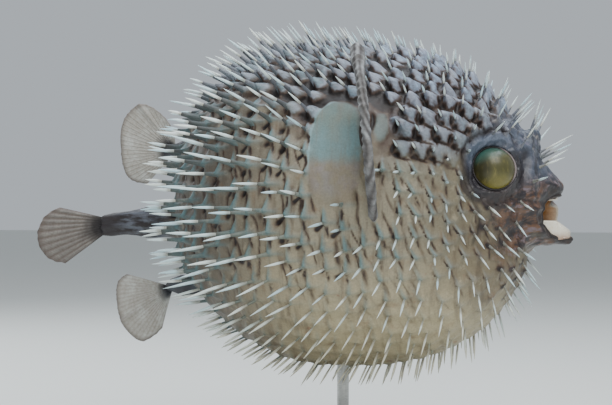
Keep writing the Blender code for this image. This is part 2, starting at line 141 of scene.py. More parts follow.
def reach_in(points: Array, centre: Triple, radii: Triple, power: float = 2) -> Array:
    """How far out in an ellipsoid points are.

    Args:
        points: places, (..., 3).
        centre: the ellipsoid's centre.
        radii: its radii along X, Y and Z.
        power: 2 for an ellipsoid, and more for one with squarer corners.

    Returns:
        0 at the centre and 1 on its surface, one for each place.
    """
    return np.sum(np.abs((points - np.array(centre)) / np.array(radii)) ** power, axis=-1)


def srgb(red: int, green: int, blue: int) -> Colour:
    """A display colour, 0 to 255, as the linear one that a shader takes."""
    return tuple((((c / 255) + 0.055) / 1.055) ** 2.4 if c > 10 else c / 3295 for c in (red, green, blue))


# ---- materials


class Value:
    """A number that a material works out: wraps a node's output and adds Math nodes to it."""

    def __init__(self, graph: "Graph", socket: Socket) -> None:
        """Wraps a socket of a graph."""
        self.graph = graph
        self.socket = socket

    def __add__(self, other: "Value | float") -> "Value":
        """The sum."""
        return self.graph.math("ADD", self, other)

    __radd__ = __add__

    def __mul__(self, other: "Value | float") -> "Value":
        """The product."""
        return self.graph.math("MULTIPLY", self, other)

    __rmul__ = __mul__

    def __sub__(self, other: "Value | float") -> "Value":
        """The difference."""
        return self.graph.math("SUBTRACT", self, other)

    def __rsub__(self, other: "Value | float") -> "Value":
        """The difference from what stands on the left."""
        return self.graph.math("SUBTRACT", other, self)

    def clamped(self) -> "Value":
        """The value, held between 0 and 1."""
        return self.graph.math("ADD", self, 0.0, clamp=True)

    def rise(self, low: float, high: float) -> "Value":
        """Rises smoothly from 0 to 1.

        Args:
            low: the value where the rise starts; it may be greater than high, for a fall.
            high: where it ends.

        Returns:
            The share.
        """
        ranges = {"Value": self, "From Min": min(low, high), "From Max": max(low, high)}
        ends = (0.0, 1.0) if high > low else (1.0, 0.0)
        ranges |= {"To Min": ends[0], "To Max": ends[1]}
        return self.graph.value("ShaderNodeMapRange", {"interpolation_type": "SMOOTHSTEP"}, ranges, "Result")


class Graph:
    """A material's node tree, written as Python."""

    def __init__(self, name: str) -> None:
        """Starts a material.

        Args:
            name: its name.
        """
        self.material = bpy.data.materials.new(name)
        self.material.use_nodes = True
        self.tree = self.material.node_tree
        self.shader = self.tree.nodes["Principled BSDF"]

    def node(self, kind: str, settings: dict, sockets: dict) -> bpy.types.Node:
        """Adds one node.

        Args:
            kind: the node's type.
            settings: its properties, set first.
            sockets: input names or numbers, each with a value, a Value or a socket to link.

        Returns:
            The node.
        """
        made = self.tree.nodes.new(kind)
        for name, setting in settings.items():
            setattr(made, name, setting)
        for name, given in sockets.items():
            self.feed(made.inputs[name], given)
        return made

    def feed(self, target: Socket, given: object) -> None:
        """Links a socket to what it is given, or sets its own value.

        Args:
            target: the socket.
            given: a Value, a socket, a colour or a number.
        """
        if isinstance(given, Value):
            given = given.socket
        if isinstance(given, Socket):
            self.tree.links.new(given, target)
        elif isinstance(given, tuple) and target.type == "RGBA":
            target.default_value = (*given[:3], 1.0)
        else:
            target.default_value = given

    def value(self, kind: str, settings: dict, sockets: dict, output: str | int = 0) -> Value:
        """Adds one node and wraps its output."""
        return Value(self, self.node(kind, settings, sockets).outputs[output])

    def math(self, operation: str, a: "Value | float", b: "Value | float", clamp: bool = False) -> Value:
        """A Math node of two values."""
        return self.value("ShaderNodeMath", {"operation": operation, "use_clamp": clamp}, {0: a, 1: b})

    def mix(self, share: "Value | float", a: object, b: object, blend: str = "MIX") -> Socket:
        """Mixes two colours.

        Args:
            share: 0 gives a and 1 gives b.
            a: a colour or a socket.
            b: a colour or a socket.
            blend: how b is laid over a.

        Returns:
            The mixed colour.
        """
        settings = {"data_type": "RGBA", "blend_type": blend}
        return self.node("ShaderNodeMix", settings, {0: share, 6: a, 7: b}).outputs[2]

    def laid(self, colour: object, *layers: tuple["Value | float", object]) -> Socket:
        """Lays colours over one another.

        Args:
            colour: the lowest one.
            *layers: the share and the colour of each one over it, from the lowest up.

        Returns:
            The colour that they make.
        """
        for share, over in layers:
            colour = self.mix(share, colour, over)
        return colour

    def place(self, centre: Vector = Vector((0, 0, 0)), scale: Triple = (1, 1, 1)) -> Socket:
        """Adds object coordinates.

        Args:
            centre: where they are measured from.
            scale: what they are then multiplied by.

        Returns:
            The coordinates.
        """
        source = self.node("ShaderNodeTexCoord", {}, {}).outputs["Object"]
        moved = self.node("ShaderNodeVectorMath", {"operation": "SUBTRACT"}, {0: source, 1: tuple(centre)})
        scaled = self.node("ShaderNodeVectorMath", {"operation": "MULTIPLY"}, {0: moved.outputs[0], 1: scale})
        return scaled.outputs[0]

    def axes(self, place: Socket) -> tuple[Value, Value, Value]:
        """The three numbers of a place."""
        parts = self.node("ShaderNodeSeparateXYZ", {}, {0: place})
        return tuple(Value(self, parts.outputs[k]) for k in range(3))

    def noise(self, place: Socket, scale: float, detail: float = 3.0, rough: float = 0.55) -> Value:
        """Cloudy noise from about 0 to 1."""
        sockets = {"Vector": place, "Scale": scale, "Detail": detail, "Roughness": rough}
        return self.value("ShaderNodeTexNoise", {}, sockets)

    def mask(self, name: str) -> Value:
        """A number that the mesh carries at each vertex."""
        return self.value("ShaderNodeAttribute", {"attribute_name": name}, {}, "Fac")

    def finish(
        self, colour: object, roughness: object, relief: Value | None = None, depth: float = 0.0, **fixed: float
    ) -> bpy.types.Material:
        """Feeds the shader.

        Args:
            colour: base colour.
            roughness: roughness.
            relief: height for the bump, or None.
            depth: how high the bump stands where relief is 1.
            **fixed: other sockets by name, with _ for a space.

        Returns:
            The material.
        """
        self.feed(self.shader.inputs["Base Color"], colour)
        self.feed(self.shader.inputs["Roughness"], roughness)
        if relief is not None:
            bump = self.node("ShaderNodeBump", {}, {"Height": relief, "Distance": depth, "Strength": 1.0})
            self.feed(self.shader.inputs["Normal"], bump.outputs[0])
        for name, given in fixed.items():
            self.feed(self.shader.inputs[name.replace("_", " ")], given)
        return self.material


@dataclass(frozen=True)
class SkinFinish:
    """Dried, stretched skin: tan, paler below, dark brown above under plates of painted lilac-grey sky sheen,
    dark and reddish on the face.
    """

    centre: Vector
    # smooth skin
    belly: Colour = srgb(180, 168, 136)
    flank: Colour = srgb(141, 134, 115)
    # darker towards the tail: partly the rear flank's own tone, partly painted shade where it turns from the
    # lamps
    tail_end: Colour = srgb(82, 74, 66)
    cheek: Colour = srgb(104, 93, 71)
    # dark brown of the back: partly its own colour, partly painted shade in the gaps between the plates
    back: Colour = srgb(80, 68, 62)
    temple: Colour = srgb(106, 104, 104)
    russet: Colour = srgb(126, 92, 62)
    straw: Colour = srgb(196, 186, 160)
    blotch: Colour = srgb(132, 66, 46)
    # the bare patch behind the pectoral fin
    bare_above: Colour = srgb(102, 134, 138)
    bare_below: Colour = srgb(128, 118, 100)
    bare_top: Colour = srgb(96, 114, 106)
    bare_lilac: Colour = srgb(130, 124, 130)
    bare_olive: Colour = srgb(120, 122, 108)
    bare_brown: Colour = srgb(112, 98, 80)
    bare_rim: Colour = srgb(146, 182, 190)
    # plates on the back, their colours painted sky sheen and highlights; ridges on the flanks; and the painted
    # shade between them
    plate_sky_sheen: Colour = srgb(142, 162, 186)
    plate_sky_sheen_rear: Colour = srgb(114, 140, 150)
    plate_sky_sheen_temple: Colour = srgb(124, 132, 138)
    petal_line: Colour = srgb(92, 92, 102)
    plate_highlight: Colour = srgb(178, 184, 198)
    plate_rim_highlight: Colour = srgb(172, 180, 198)
    ridge: Colour = srgb(84, 122, 128)
    ridge_front: Colour = srgb(148, 156, 158)
    # painted shade: brown where the shadow mask is weak and near black where it is strong; the brown also lays
    # dark streaks on the smooth skin
    crease: Colour = srgb(66, 46, 34)
    deep: Colour = srgb(24, 18, 18)
    # tail stalk, face and mouth; the face's blue is painted sky reflection, and its pale and lilac are painted
    # highlights
    stalk: Colour = srgb(86, 90, 100)
    stalk_dark: Colour = srgb(34, 27, 28)
    face: Colour = srgb(43, 38, 42)
    face_red: Colour = srgb(102, 72, 52)
    face_sky_reflection: Colour = srgb(72, 82, 98)
    face_highlight: Colour = srgb(190, 186, 180)
    face_lilac_highlight: Colour = srgb(122, 116, 130)
    brow: Colour = srgb(100, 110, 128)
    # the lips' own dark colour, also laid as painted shade in the face's furrows, round the eyes and under the
    # upper lip
    lip: Colour = srgb(38, 32, 33)
    far_lip: Colour = srgb(184, 176, 160)
    mouth: Colour = srgb(178, 118, 46)
    throat: Colour = srgb(80, 48, 22)
    # fine grain laid over it all
    grain_dark: Colour = srgb(80, 80, 80)
    grain_light: Colour = srgb(225, 225, 225)
    grain_share: float = 0.40
    relief_depth: float = 0.40 * MM

    def make(self, name: str) -> bpy.types.Material:
        """Makes the material, for the skin and for what grows out of it.

        Args:
            name: its name.

        Returns:
            The material.
        """
        paint = SkinPaint(Graph(name), self)
        paint.lay_smooth_skin()
        paint.lay_bare_patch()
        paint.lay_relief()
        paint.lay_stalk()
        paint.lay_face()
        paint.lay_mouth()
        return paint.finished()


class SkinPaint:
    """Lays the skin's colours over one another, and holds what they follow: places and noises."""

    def __init__(self, g: Graph, c: SkinFinish) -> None:
        """Adds the places and noises.

        Args:
            g: the material's nodes.
            c: the skin's colours.
        """
        self.g, self.c = g, c
        spot = g.place(c.centre)
        self.x, self.y, self.z = g.axes(spot)
        self.cloud = g.noise(spot, 45)
        self.blotchy = g.noise(spot, 95, 3)
        self.patchy = g.noise(spot, 170, 4)
        self.grain = g.noise(spot, 1100, 2)
        self.streaks = g.noise(g.place(c.centre, (1.0, 0.14, 0.14)), 300, 3, 0.6)
        self.lengthwise = g.noise(g.place(c.centre, (0.22, 1.0, 1.0)), 420, 4, 0.6)
        self.level = self.z + (self.cloud - 0.5) * 0.030 - self.x.rise(0.012, -0.030) * 0.026
        self.back = self.level.rise(0.014, 0.040)
        self.temple = self.x.rise(0.022, 0.050) * self.z.rise(0.058, 0.040) * self.z.rise(0.020, 0.028)
        self.colour = c.belly

    def lay(self, *layers: tuple["Value | float", object]) -> None:
        """Lays more colours over those that are there, each given with its share."""
        self.colour = self.g.laid(self.colour, *layers)

    def lay_smooth_skin(self) -> None:
        """Tan, paler below, darker at the rear and on the back, where the darkness is partly painted shade."""
        c, x, z, patchy = self.c, self.x, self.z, self.patchy
        self.lay(
            (self.level.rise(-0.070, -0.005), c.flank),
            (x.rise(0.016, -0.066) * 0.95, c.tail_end),
            (x.rise(0.038, 0.072) * self.level.rise(-0.060, -0.025) * 0.75, c.cheek),
            (self.back, c.back),
            (self.temple * 0.75, c.temple),
            (self.streaks.rise(0.48, 0.68) * 0.38, c.crease),
            (patchy.rise(0.54, 0.74) * 0.35, c.russet),
            (patchy.rise(0.44, 0.26) * 0.30, c.straw),
            (self.blotchy.rise(0.66, 0.74) * z.rise(-0.015, -0.035) * 0.55, c.blotch),
        )

    def lay_bare_patch(self) -> None:
        """The patch behind the pectoral fin: blue above, tan below, with a pale rim behind."""
        c, patchy = self.c, self.patchy
        height = self.z + (patchy - 0.5) * 0.008 + (self.cloud - 0.5) * 0.010
        upper = height.rise(0.0185, 0.0245)
        lilac = height.rise(0.004, 0.013) * height.rise(0.0245, 0.0185) * patchy.rise(0.35, 0.65)
        patch = self.g.laid(
            c.bare_below,
            (upper, c.bare_above),
            (height.rise(0.030, 0.042) * 0.75, c.bare_top),
            (lilac * 0.7, c.bare_lilac),
            (self.cloud.rise(0.50, 0.70) * 0.40, c.bare_olive),
            (self.streaks.rise(0.42, 0.70) * 0.40, c.bare_brown),
        )
        bare = self.g.mask("bare")
        rim = bare.rise(0.10, 0.45) * bare.rise(0.95, 0.60) * upper * self.x.rise(0.014, 0.002)
        self.lay(
            ((bare * (0.80 + self.cloud * 0.3)).clamped(), patch),
            ((rim * patchy * 1.2).clamped(), c.bare_rim),
        )

    def lay_relief(self) -> None:
        """Painted sky sheen and highlights on the back's plates, ridges on the flanks, and painted shadow in
        the hollows between them.
        """
        c, g, patchy, back = self.c, self.g, self.patchy, self.back
        plates = g.laid(
            c.plate_sky_sheen_rear,
            (self.x.rise(-0.01, 0.045), c.plate_sky_sheen),
            (self.temple * 0.7, c.plate_sky_sheen_temple),
            (self.lengthwise.rise(0.38, 0.66) * 0.75, c.petal_line),
            (patchy.rise(0.55, 0.70) * 0.45, c.plate_highlight),
        )
        ridges = g.mix(self.x.rise(0.040, 0.072) * 0.8, c.ridge, c.ridge_front)
        ridge = g.mask("ridge")
        shadow = (g.mask("shadow") * (0.82 + patchy * 0.8 - back * 0.18)).clamped()
        self.lay(
            # on the back the plates take painted sky sheen, their rims a painted highlight; on the flanks the
            # ridges take their own colour
            ((ridge * (0.25 + patchy * 0.9 + back * 0.4)).clamped(), g.mix(back, ridges, plates)),
            (ridge.rise(0.20, 0.45) * ridge.rise(0.80, 0.50) * back * 0.40, c.plate_rim_highlight),
            # painted shadow: brown, and near black where it is strongest
            (shadow.rise(0.0, 0.65), c.crease),
            (shadow.rise(0.40, 0.75) * 0.95, c.deep),
        )

    def lay_stalk(self) -> None:
        """The tail stalk: grey and brown in lines, darkest where the fin starts."""
        dark = self.c.stalk_dark
        lines = (self.lengthwise.rise(0.40, 0.62), dark), (self.x.rise(-0.110, -0.122) * 0.9, dark)
        self.lay((self.g.mask("stalk"), self.g.laid(self.c.stalk, *lines)))

    def lay_face(self) -> None:
        """The dark face, reddish below, with painted blue sky reflection above and painted pale and lilac
        highlights, painted shade in its furrows, the brow and the lips.
        """
        c, g, x, z, patchy = self.c, self.g, self.x, self.z, self.patchy
        red = (self.lengthwise * 0.6 + self.cloud * 0.4 + (patchy - 0.5) * 0.7).rise(0.43, 0.60)
        upper = (z + (patchy - 0.5) * 0.012 - (x - 0.09) * 0.35).rise(0.004, 0.016)
        face = g.laid(
            c.face,
            (red, c.face_red),
            (upper * (0.35 + self.lengthwise).clamped(), c.face_sky_reflection),
            (patchy.rise(0.60, 0.72) * z.rise(0.018, 0.026) * 0.7, c.face_highlight),
            (self.lengthwise.rise(0.54, 0.66) * 0.55, c.face_lilac_highlight),
            (self.streaks.rise(0.52, 0.66) * 0.6, c.lip),
        )
        far_side = self.y.rise(0.005, 0.009) * z.rise(0.003, -0.001)
        self.lay(
            (g.mask("face"), face),
            ((g.mask("brow") * (0.5 + self.cloud)).clamped() * 0.85, c.brow),
            # painted shade in the face's furrows and round the eyes; on the upper sleeves, their darker colour
            (g.mask("furrow") * 0.80, c.lip),
            (g.mask("lip") * 0.95, g.mix(far_side, c.lip, c.far_lip)),
        )

    def lay_mouth(self) -> None:
        """The inside of the mouth: amber, brown in the throat and painted shade under the upper lip."""
        lining = self.g.laid(
            self.c.mouth,
            (self.x.rise(0.103, 0.090), self.c.throat),
            ((self.streaks - 0.35).clamped(), self.c.throat),
            # painted shade under the upper lip
            (self.z.rise(0.0015, 0.0045) * 0.85, self.c.lip),
        )
        self.lay((self.g.mask("mouth"), lining))

    def finished(self) -> bpy.types.Material:
        """Adds the fine grain, the roughness and the relief.

        Returns:
            The material.
        """
        c, g, grain = self.c, self.g, self.grain
        colour = g.mix(c.grain_share, self.colour, g.mix(grain, c.grain_dark, c.grain_light), "OVERLAY")
        height = grain * 0.25 + self.streaks * 0.5 + self.patchy * 0.5
        rough = 0.56 - g.mask("face") * 0.14 - g.mask("mouth") * 0.2 + (grain - 0.5) * 0.2
        return g.finish(colour, rough, height, c.relief_depth, Specular_IOR_Level=0.5)


@dataclass(frozen=True)
class SpineFinish:
    """Ivory spines, faintly blue, browner where they leave the skin."""

    centre: Vector
    ivory: Colour = srgb(226, 234, 230)
    cool: Colour = srgb(184, 214, 224)
    root: Colour = srgb(146, 140, 124)
    warm: Colour = srgb(206, 194, 160)

    def make(self, name: str) -> bpy.types.Material:
        """Makes the material.

        Args:
            name: its name.

        Returns:
            The material.
        """
        g = Graph(name)
        spot = g.place(self.centre)
        height = g.axes(spot)[2]
        fibres = g.noise(spot, 900, 2)
        near_root = g.mask("along").rise(0.34, 0.05) * 0.7 + (fibres - 0.5) * 0.3
        colour = g.laid(
            g.mix(g.mask("tint"), self.ivory, self.cool),
            (height.rise(-0.035, -0.080) * 0.7, self.warm),
            (near_root.clamped(), self.root),
        )
        return g.finish(colour, 0.34, fibres, 0.06 * MM, Coat_Weight=0.15, Coat_Roughness=0.3)


@dataclass(frozen=True)
class EyeFinish:
    """Glassy olive-yellow eye, brighter below and with a painted bluish sky reflection above."""

    centre: Vector
    radius: float
    olive: Colour = srgb(72, 70, 36)
    yellow: Colour = srgb(122, 114, 46)
    middle: Colour = srgb(38, 37, 24)
    vein: Colour = srgb(138, 128, 68)
    dark_vein: Colour = srgb(46, 40, 22)
    speck: Colour = srgb(160, 150, 80)
    sky_reflection: Colour = srgb(50, 104, 98)
    film: Colour = srgb(60, 58, 40)

    def make(self, name: str) -> bpy.types.Material:
        """Makes the material.

        Args:
            name: its name.

        Returns:
            The material.
        """
        g = Graph(name)
        spot = g.place(self.centre, (1 / self.radius,) * 3)
        x, _, z = g.axes(spot)
        veins = g.noise(g.place(self.centre, (1, 1, 0.30)), 430, 4, 0.7)
        speckle = g.noise(g.place(self.centre), 900, 3, 0.7)
        cloud = g.noise(spot, 1.4, 2)
        middle = ((x + 0.45) * (x + 0.45) + z * z * 0.35 + (cloud - 0.5) * 0.3).rise(0.34, 0.02)
        colour = g.laid(
            g.mix((z + (cloud - 0.5) * 0.6).rise(0.0, -0.80), self.olive, self.yellow),
            (middle * 0.75, self.middle),
            (veins.rise(0.50, 0.70) * 0.45, self.vein),
            (veins.rise(0.42, 0.30) * 0.60, self.dark_vein),
            (speckle.rise(0.56, 0.70) * z.rise(-0.2, -0.6) * 0.6, self.speck),
            # painted sky reflection at the eye's upper left
            ((z + x * -0.40 + (cloud - 0.5) * 0.4).rise(0.30, 1.0) * 0.9, self.sky_reflection),
            (0.25, self.film),
        )
        return g.finish(colour, 0.40, veins, 0.05 * MM, Coat_Weight=0.30, Coat_Roughness=0.22, IOR=1.38)


@dataclass(frozen=True)
class LidFinish:
    """Dark, slightly wet rim round the eye."""

    centre: Vector
    dark: Colour = srgb(32, 27, 28)
    pale: Colour = srgb(124, 114, 114)

    def make(self, name: str) -> bpy.types.Material:
        """Makes the material.

        Args:
            name: its name.

        Returns:
            The material.
        """
        g = Graph(name)
        x, _, z = g.axes(g.place(self.centre))
        grain = g.noise(g.place(self.centre), 700, 3)
        colour = g.mix((x + z * 0.3 + (grain - 0.5) * 0.004).rise(0.005, 0.010), self.dark, self.pale)
        return g.finish(colour, 0.38, grain, 0.15 * MM)


@dataclass(frozen=True)
class BeakFinish:
    """Cream enamel with fine upright lines, browner at the gum."""

    centre: Vector
    enamel: Colour = srgb(226, 222, 208)
    cream: Colour = srgb(204, 182, 140)
    gum: Colour = srgb(140, 92, 56)
    gum_height: tuple[float, float] = (-0.0105, -0.0165)

    def make(self, name: str) -> bpy.types.Material:
        """Makes the material.

        Args:
            name: its name.

        Returns:
            The material.
        """
        g = Graph(name)
        spot = g.place(self.centre)
        height = g.axes(spot)[2]
        lines = g.noise(g.place(self.centre, (1, 1, 0.12)), 1500, 2)
        cloud = g.noise(spot, 260, 3)
        colour = g.laid(
            self.enamel,
            (cloud.rise(0.45, 0.75) * 0.6, self.cream),
            ((lines - 0.35).clamped() * 0.5, self.cream),
            ((height + (cloud - 0.5) * 0.003).rise(*self.gum_height) * 0.8, self.gum),
        )
        return g.finish(colour, 0.26, lines, 0.05 * MM, Coat_Weight=0.4, Coat_Roughness=0.12)


@dataclass(frozen=True)
class FinFinish:
    """Thin dried fin: grey-beige web with fine rays, a dark margin and a dark fleshy root."""

    root: Vector
    web: Colour = srgb(165, 164, 158)
    ray: Colour = srgb(112, 98, 84)
    pale: Colour = srgb(192, 196, 194)
    edge: Colour = srgb(92, 80, 74)
    dark: Colour = srgb(48, 38, 34)
    blue: Colour = srgb(104, 116, 128)
    dark_share: float = 0.30
    ray_share: float = 0.25
    edge_share: float = 0.65

    def make(self, name: str) -> bpy.types.Material:
        """Makes the material.

        Args:
            name: its name.

        Returns:
            The material.
        """
        g = Graph(name)
        spot = g.place(self.root)
        out, ray, fine = g.mask("out"), g.mask("ray"), g.mask("fine")
        cloud = g.noise(spot, 110, 4)
        small = g.noise(spot, 800, 3)
        edge = (out + (cloud - 0.5) * 0.10).rise(0.90, 1.0)
        root = (out + (cloud - 0.5) * 0.20).rise(self.dark_share, self.dark_share * 0.4)
        colour = g.laid(
            self.web,
            (cloud.rise(0.45, 0.72) * 0.75, self.pale),
            ((ray * (0.45 + cloud)).clamped() * self.ray_share, self.ray),
            (fine * (small + 0.3).clamped() * self.ray_share * 0.8, self.ray),
            ((small - 0.42).clamped() * 1.2, self.ray),
            (edge * self.edge_share, self.edge),
            (root, g.mix((cloud - 0.3).clamped(), self.dark, self.blue)),
        )
        height = ray * 0.5 + fine * 0.4 + small * 0.3
        return g.finish(colour, 0.58, height, 0.22 * MM, Specular_IOR_Level=0.35)


@dataclass(frozen=True)
class StainedWood:
    """Black-stained wood with the grain showing faintly."""

    dark: Colour = srgb(26, 25, 25)
    open_grain: Colour = srgb(52, 47, 43)
    pore: Colour = srgb(14, 13, 13)

    def make(self, name: str) -> bpy.types.Material:
        """Makes the material.

        Args:
            name: its name.

        Returns:
            The material.
        """
        g = Graph(name)
        bent = g.noise(g.place(scale=(1, 0.15, 0.6)), 30, 2)
        ring_place = g.place(scale=(1, 0.035, 0.3))
        ring_sockets = {"Vector": ring_place, "Scale": 900.0, "Detail": 4.0, "Distortion": 0.6}
        rings = g.value("ShaderNodeTexNoise", {}, ring_sockets)
        pores = g.noise(g.place(scale=(1, 0.05, 1)), 2600, 1)
        grain = (rings * 0.7 + bent * 0.3).clamped()
        colour = g.mix(grain.rise(0.42, 0.62), self.dark, self.open_grain)
        colour = g.mix(pores.rise(0.62, 0.72) * 0.6, colour, self.pore)
        rough, height = 0.42 + (grain - 0.5) * 0.3, grain + pores * 0.4
        return g.finish(colour, rough, height, 0.08 * MM, Coat_Weight=0.2, Coat_Roughness=0.3)


@dataclass(frozen=True)
class BrushedSteel:
    """Brushed steel, with fine lines round the rod."""

    bright: Colour = srgb(196, 196, 192)
    dull: Colour = srgb(150, 150, 148)

    def make(self, name: str) -> bpy.types.Material:
        """Makes the material.

        Args:
            name: its name.

        Returns:
            The material.
        """
        g = Graph(name)
        lines = g.noise(g.place(scale=(0.04, 0.04, 1)), 9000, 2)
        smears = g.noise(g.place(), 70, 3)
        colour = g.mix((lines * 0.6 + smears * 0.4).rise(0.35, 0.7), self.bright, self.dull)
        return g.finish(colour, 0.24 + smears * 0.2, lines, 0.02 * MM, Metallic=1.0)


# ---- making pieces


def as_mesh(name: str, bm: bmesh.types.BMesh) -> bpy.types.Mesh:
    """Turns a form into a mesh, and frees it.

    Args:
        name: the mesh's name.
        bm: the form.

    Returns:
        The mesh.
    """
    mesh = bpy.data.meshes.new(name)
    bm.to_mesh(mesh)
    bm.free()
    return mesh


def linked(name: str, data: bpy.types.ID) -> bpy.types.Object:
    """A new object in the scene."""
    made = bpy.data.objects.new(name, data)
    bpy.context.scene.collection.objects.link(made)
    return made


def grid_mesh(name: str, points: Array, masks: dict[str, Array], merge: float) -> bpy.types.Mesh:
    """A grid laid over rows and columns of points, with its seam and poles closed.

    Args:
        name: the mesh's name.
        points: places, (rows, columns, 3).
        masks: numbers to carry at each vertex, (rows, columns) each.
        merge: points closer than this become one.

    Returns:
        The mesh.
    """
    rows, columns = points.shape[:2]
    bm = bmesh.new()
    bmesh.ops.create_grid(bm, x_segments=columns - 1, y_segments=rows - 1, size=1)
    for vert, place in zip(bm.verts, points.reshape(-1, 3)):
        vert.co = place
    for key, numbers in masks.items():
        layer = bm.verts.layers.float.new(key)
        for vert, number in zip(bm.verts, numbers.ravel()):
            vert[layer] = number
    bmesh.ops.remove_doubles(bm, verts=bm.verts, dist=merge)
    bmesh.ops.dissolve_degenerate(bm, dist=merge, edges=bm.edges)
    bmesh.ops.recalc_face_normals(bm, faces=bm.faces)
    return as_mesh(name, bm)


def add_piece(
    name: str, mesh: bpy.types.Mesh, material: bpy.types.Material, nodes: tuple[str, ...] = ()
) -> bpy.types.Object:
    """Puts a finished mesh in the scene as a piece of the fish or its stand.

    Args:
        name: the piece's name.
        mesh: its mesh, in world places.
        material: its finish.
        nodes: the CAD nodes it stands for.

    Returns:
        The piece.
    """
    mesh.shade_smooth()
    mesh.materials.clear()
    mesh.materials.append(material)
    piece = linked(name, mesh)
    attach(piece, "root")
    if nodes:
        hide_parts(*nodes)
    mesh.calc_loop_triangles()
    log.info("%s: %d triangles", name, len(mesh.loop_triangles))
    return piece


def simplified(mesh: bpy.types.Mesh, triangles: int) -> bpy.types.Mesh:
    """Copies a mesh with fewer triangles, more of them where it bends.

    Args:
        mesh: the mesh.
        triangles: about how many the copy may have.

    Returns:
        The copy.
    """
    mesh.calc_loop_triangles()
    holder = linked("simplified", mesh)
    modifier = holder.modifiers.new("fewer", "DECIMATE")
    modifier.ratio = min(1.0, triangles / len(mesh.loop_triangles))
    done = bpy.data.meshes.new_from_object(holder.evaluated_get(bpy.context.evaluated_depsgraph_get()))
    bpy.data.objects.remove(holder)
    return done


# ---- the fish's form


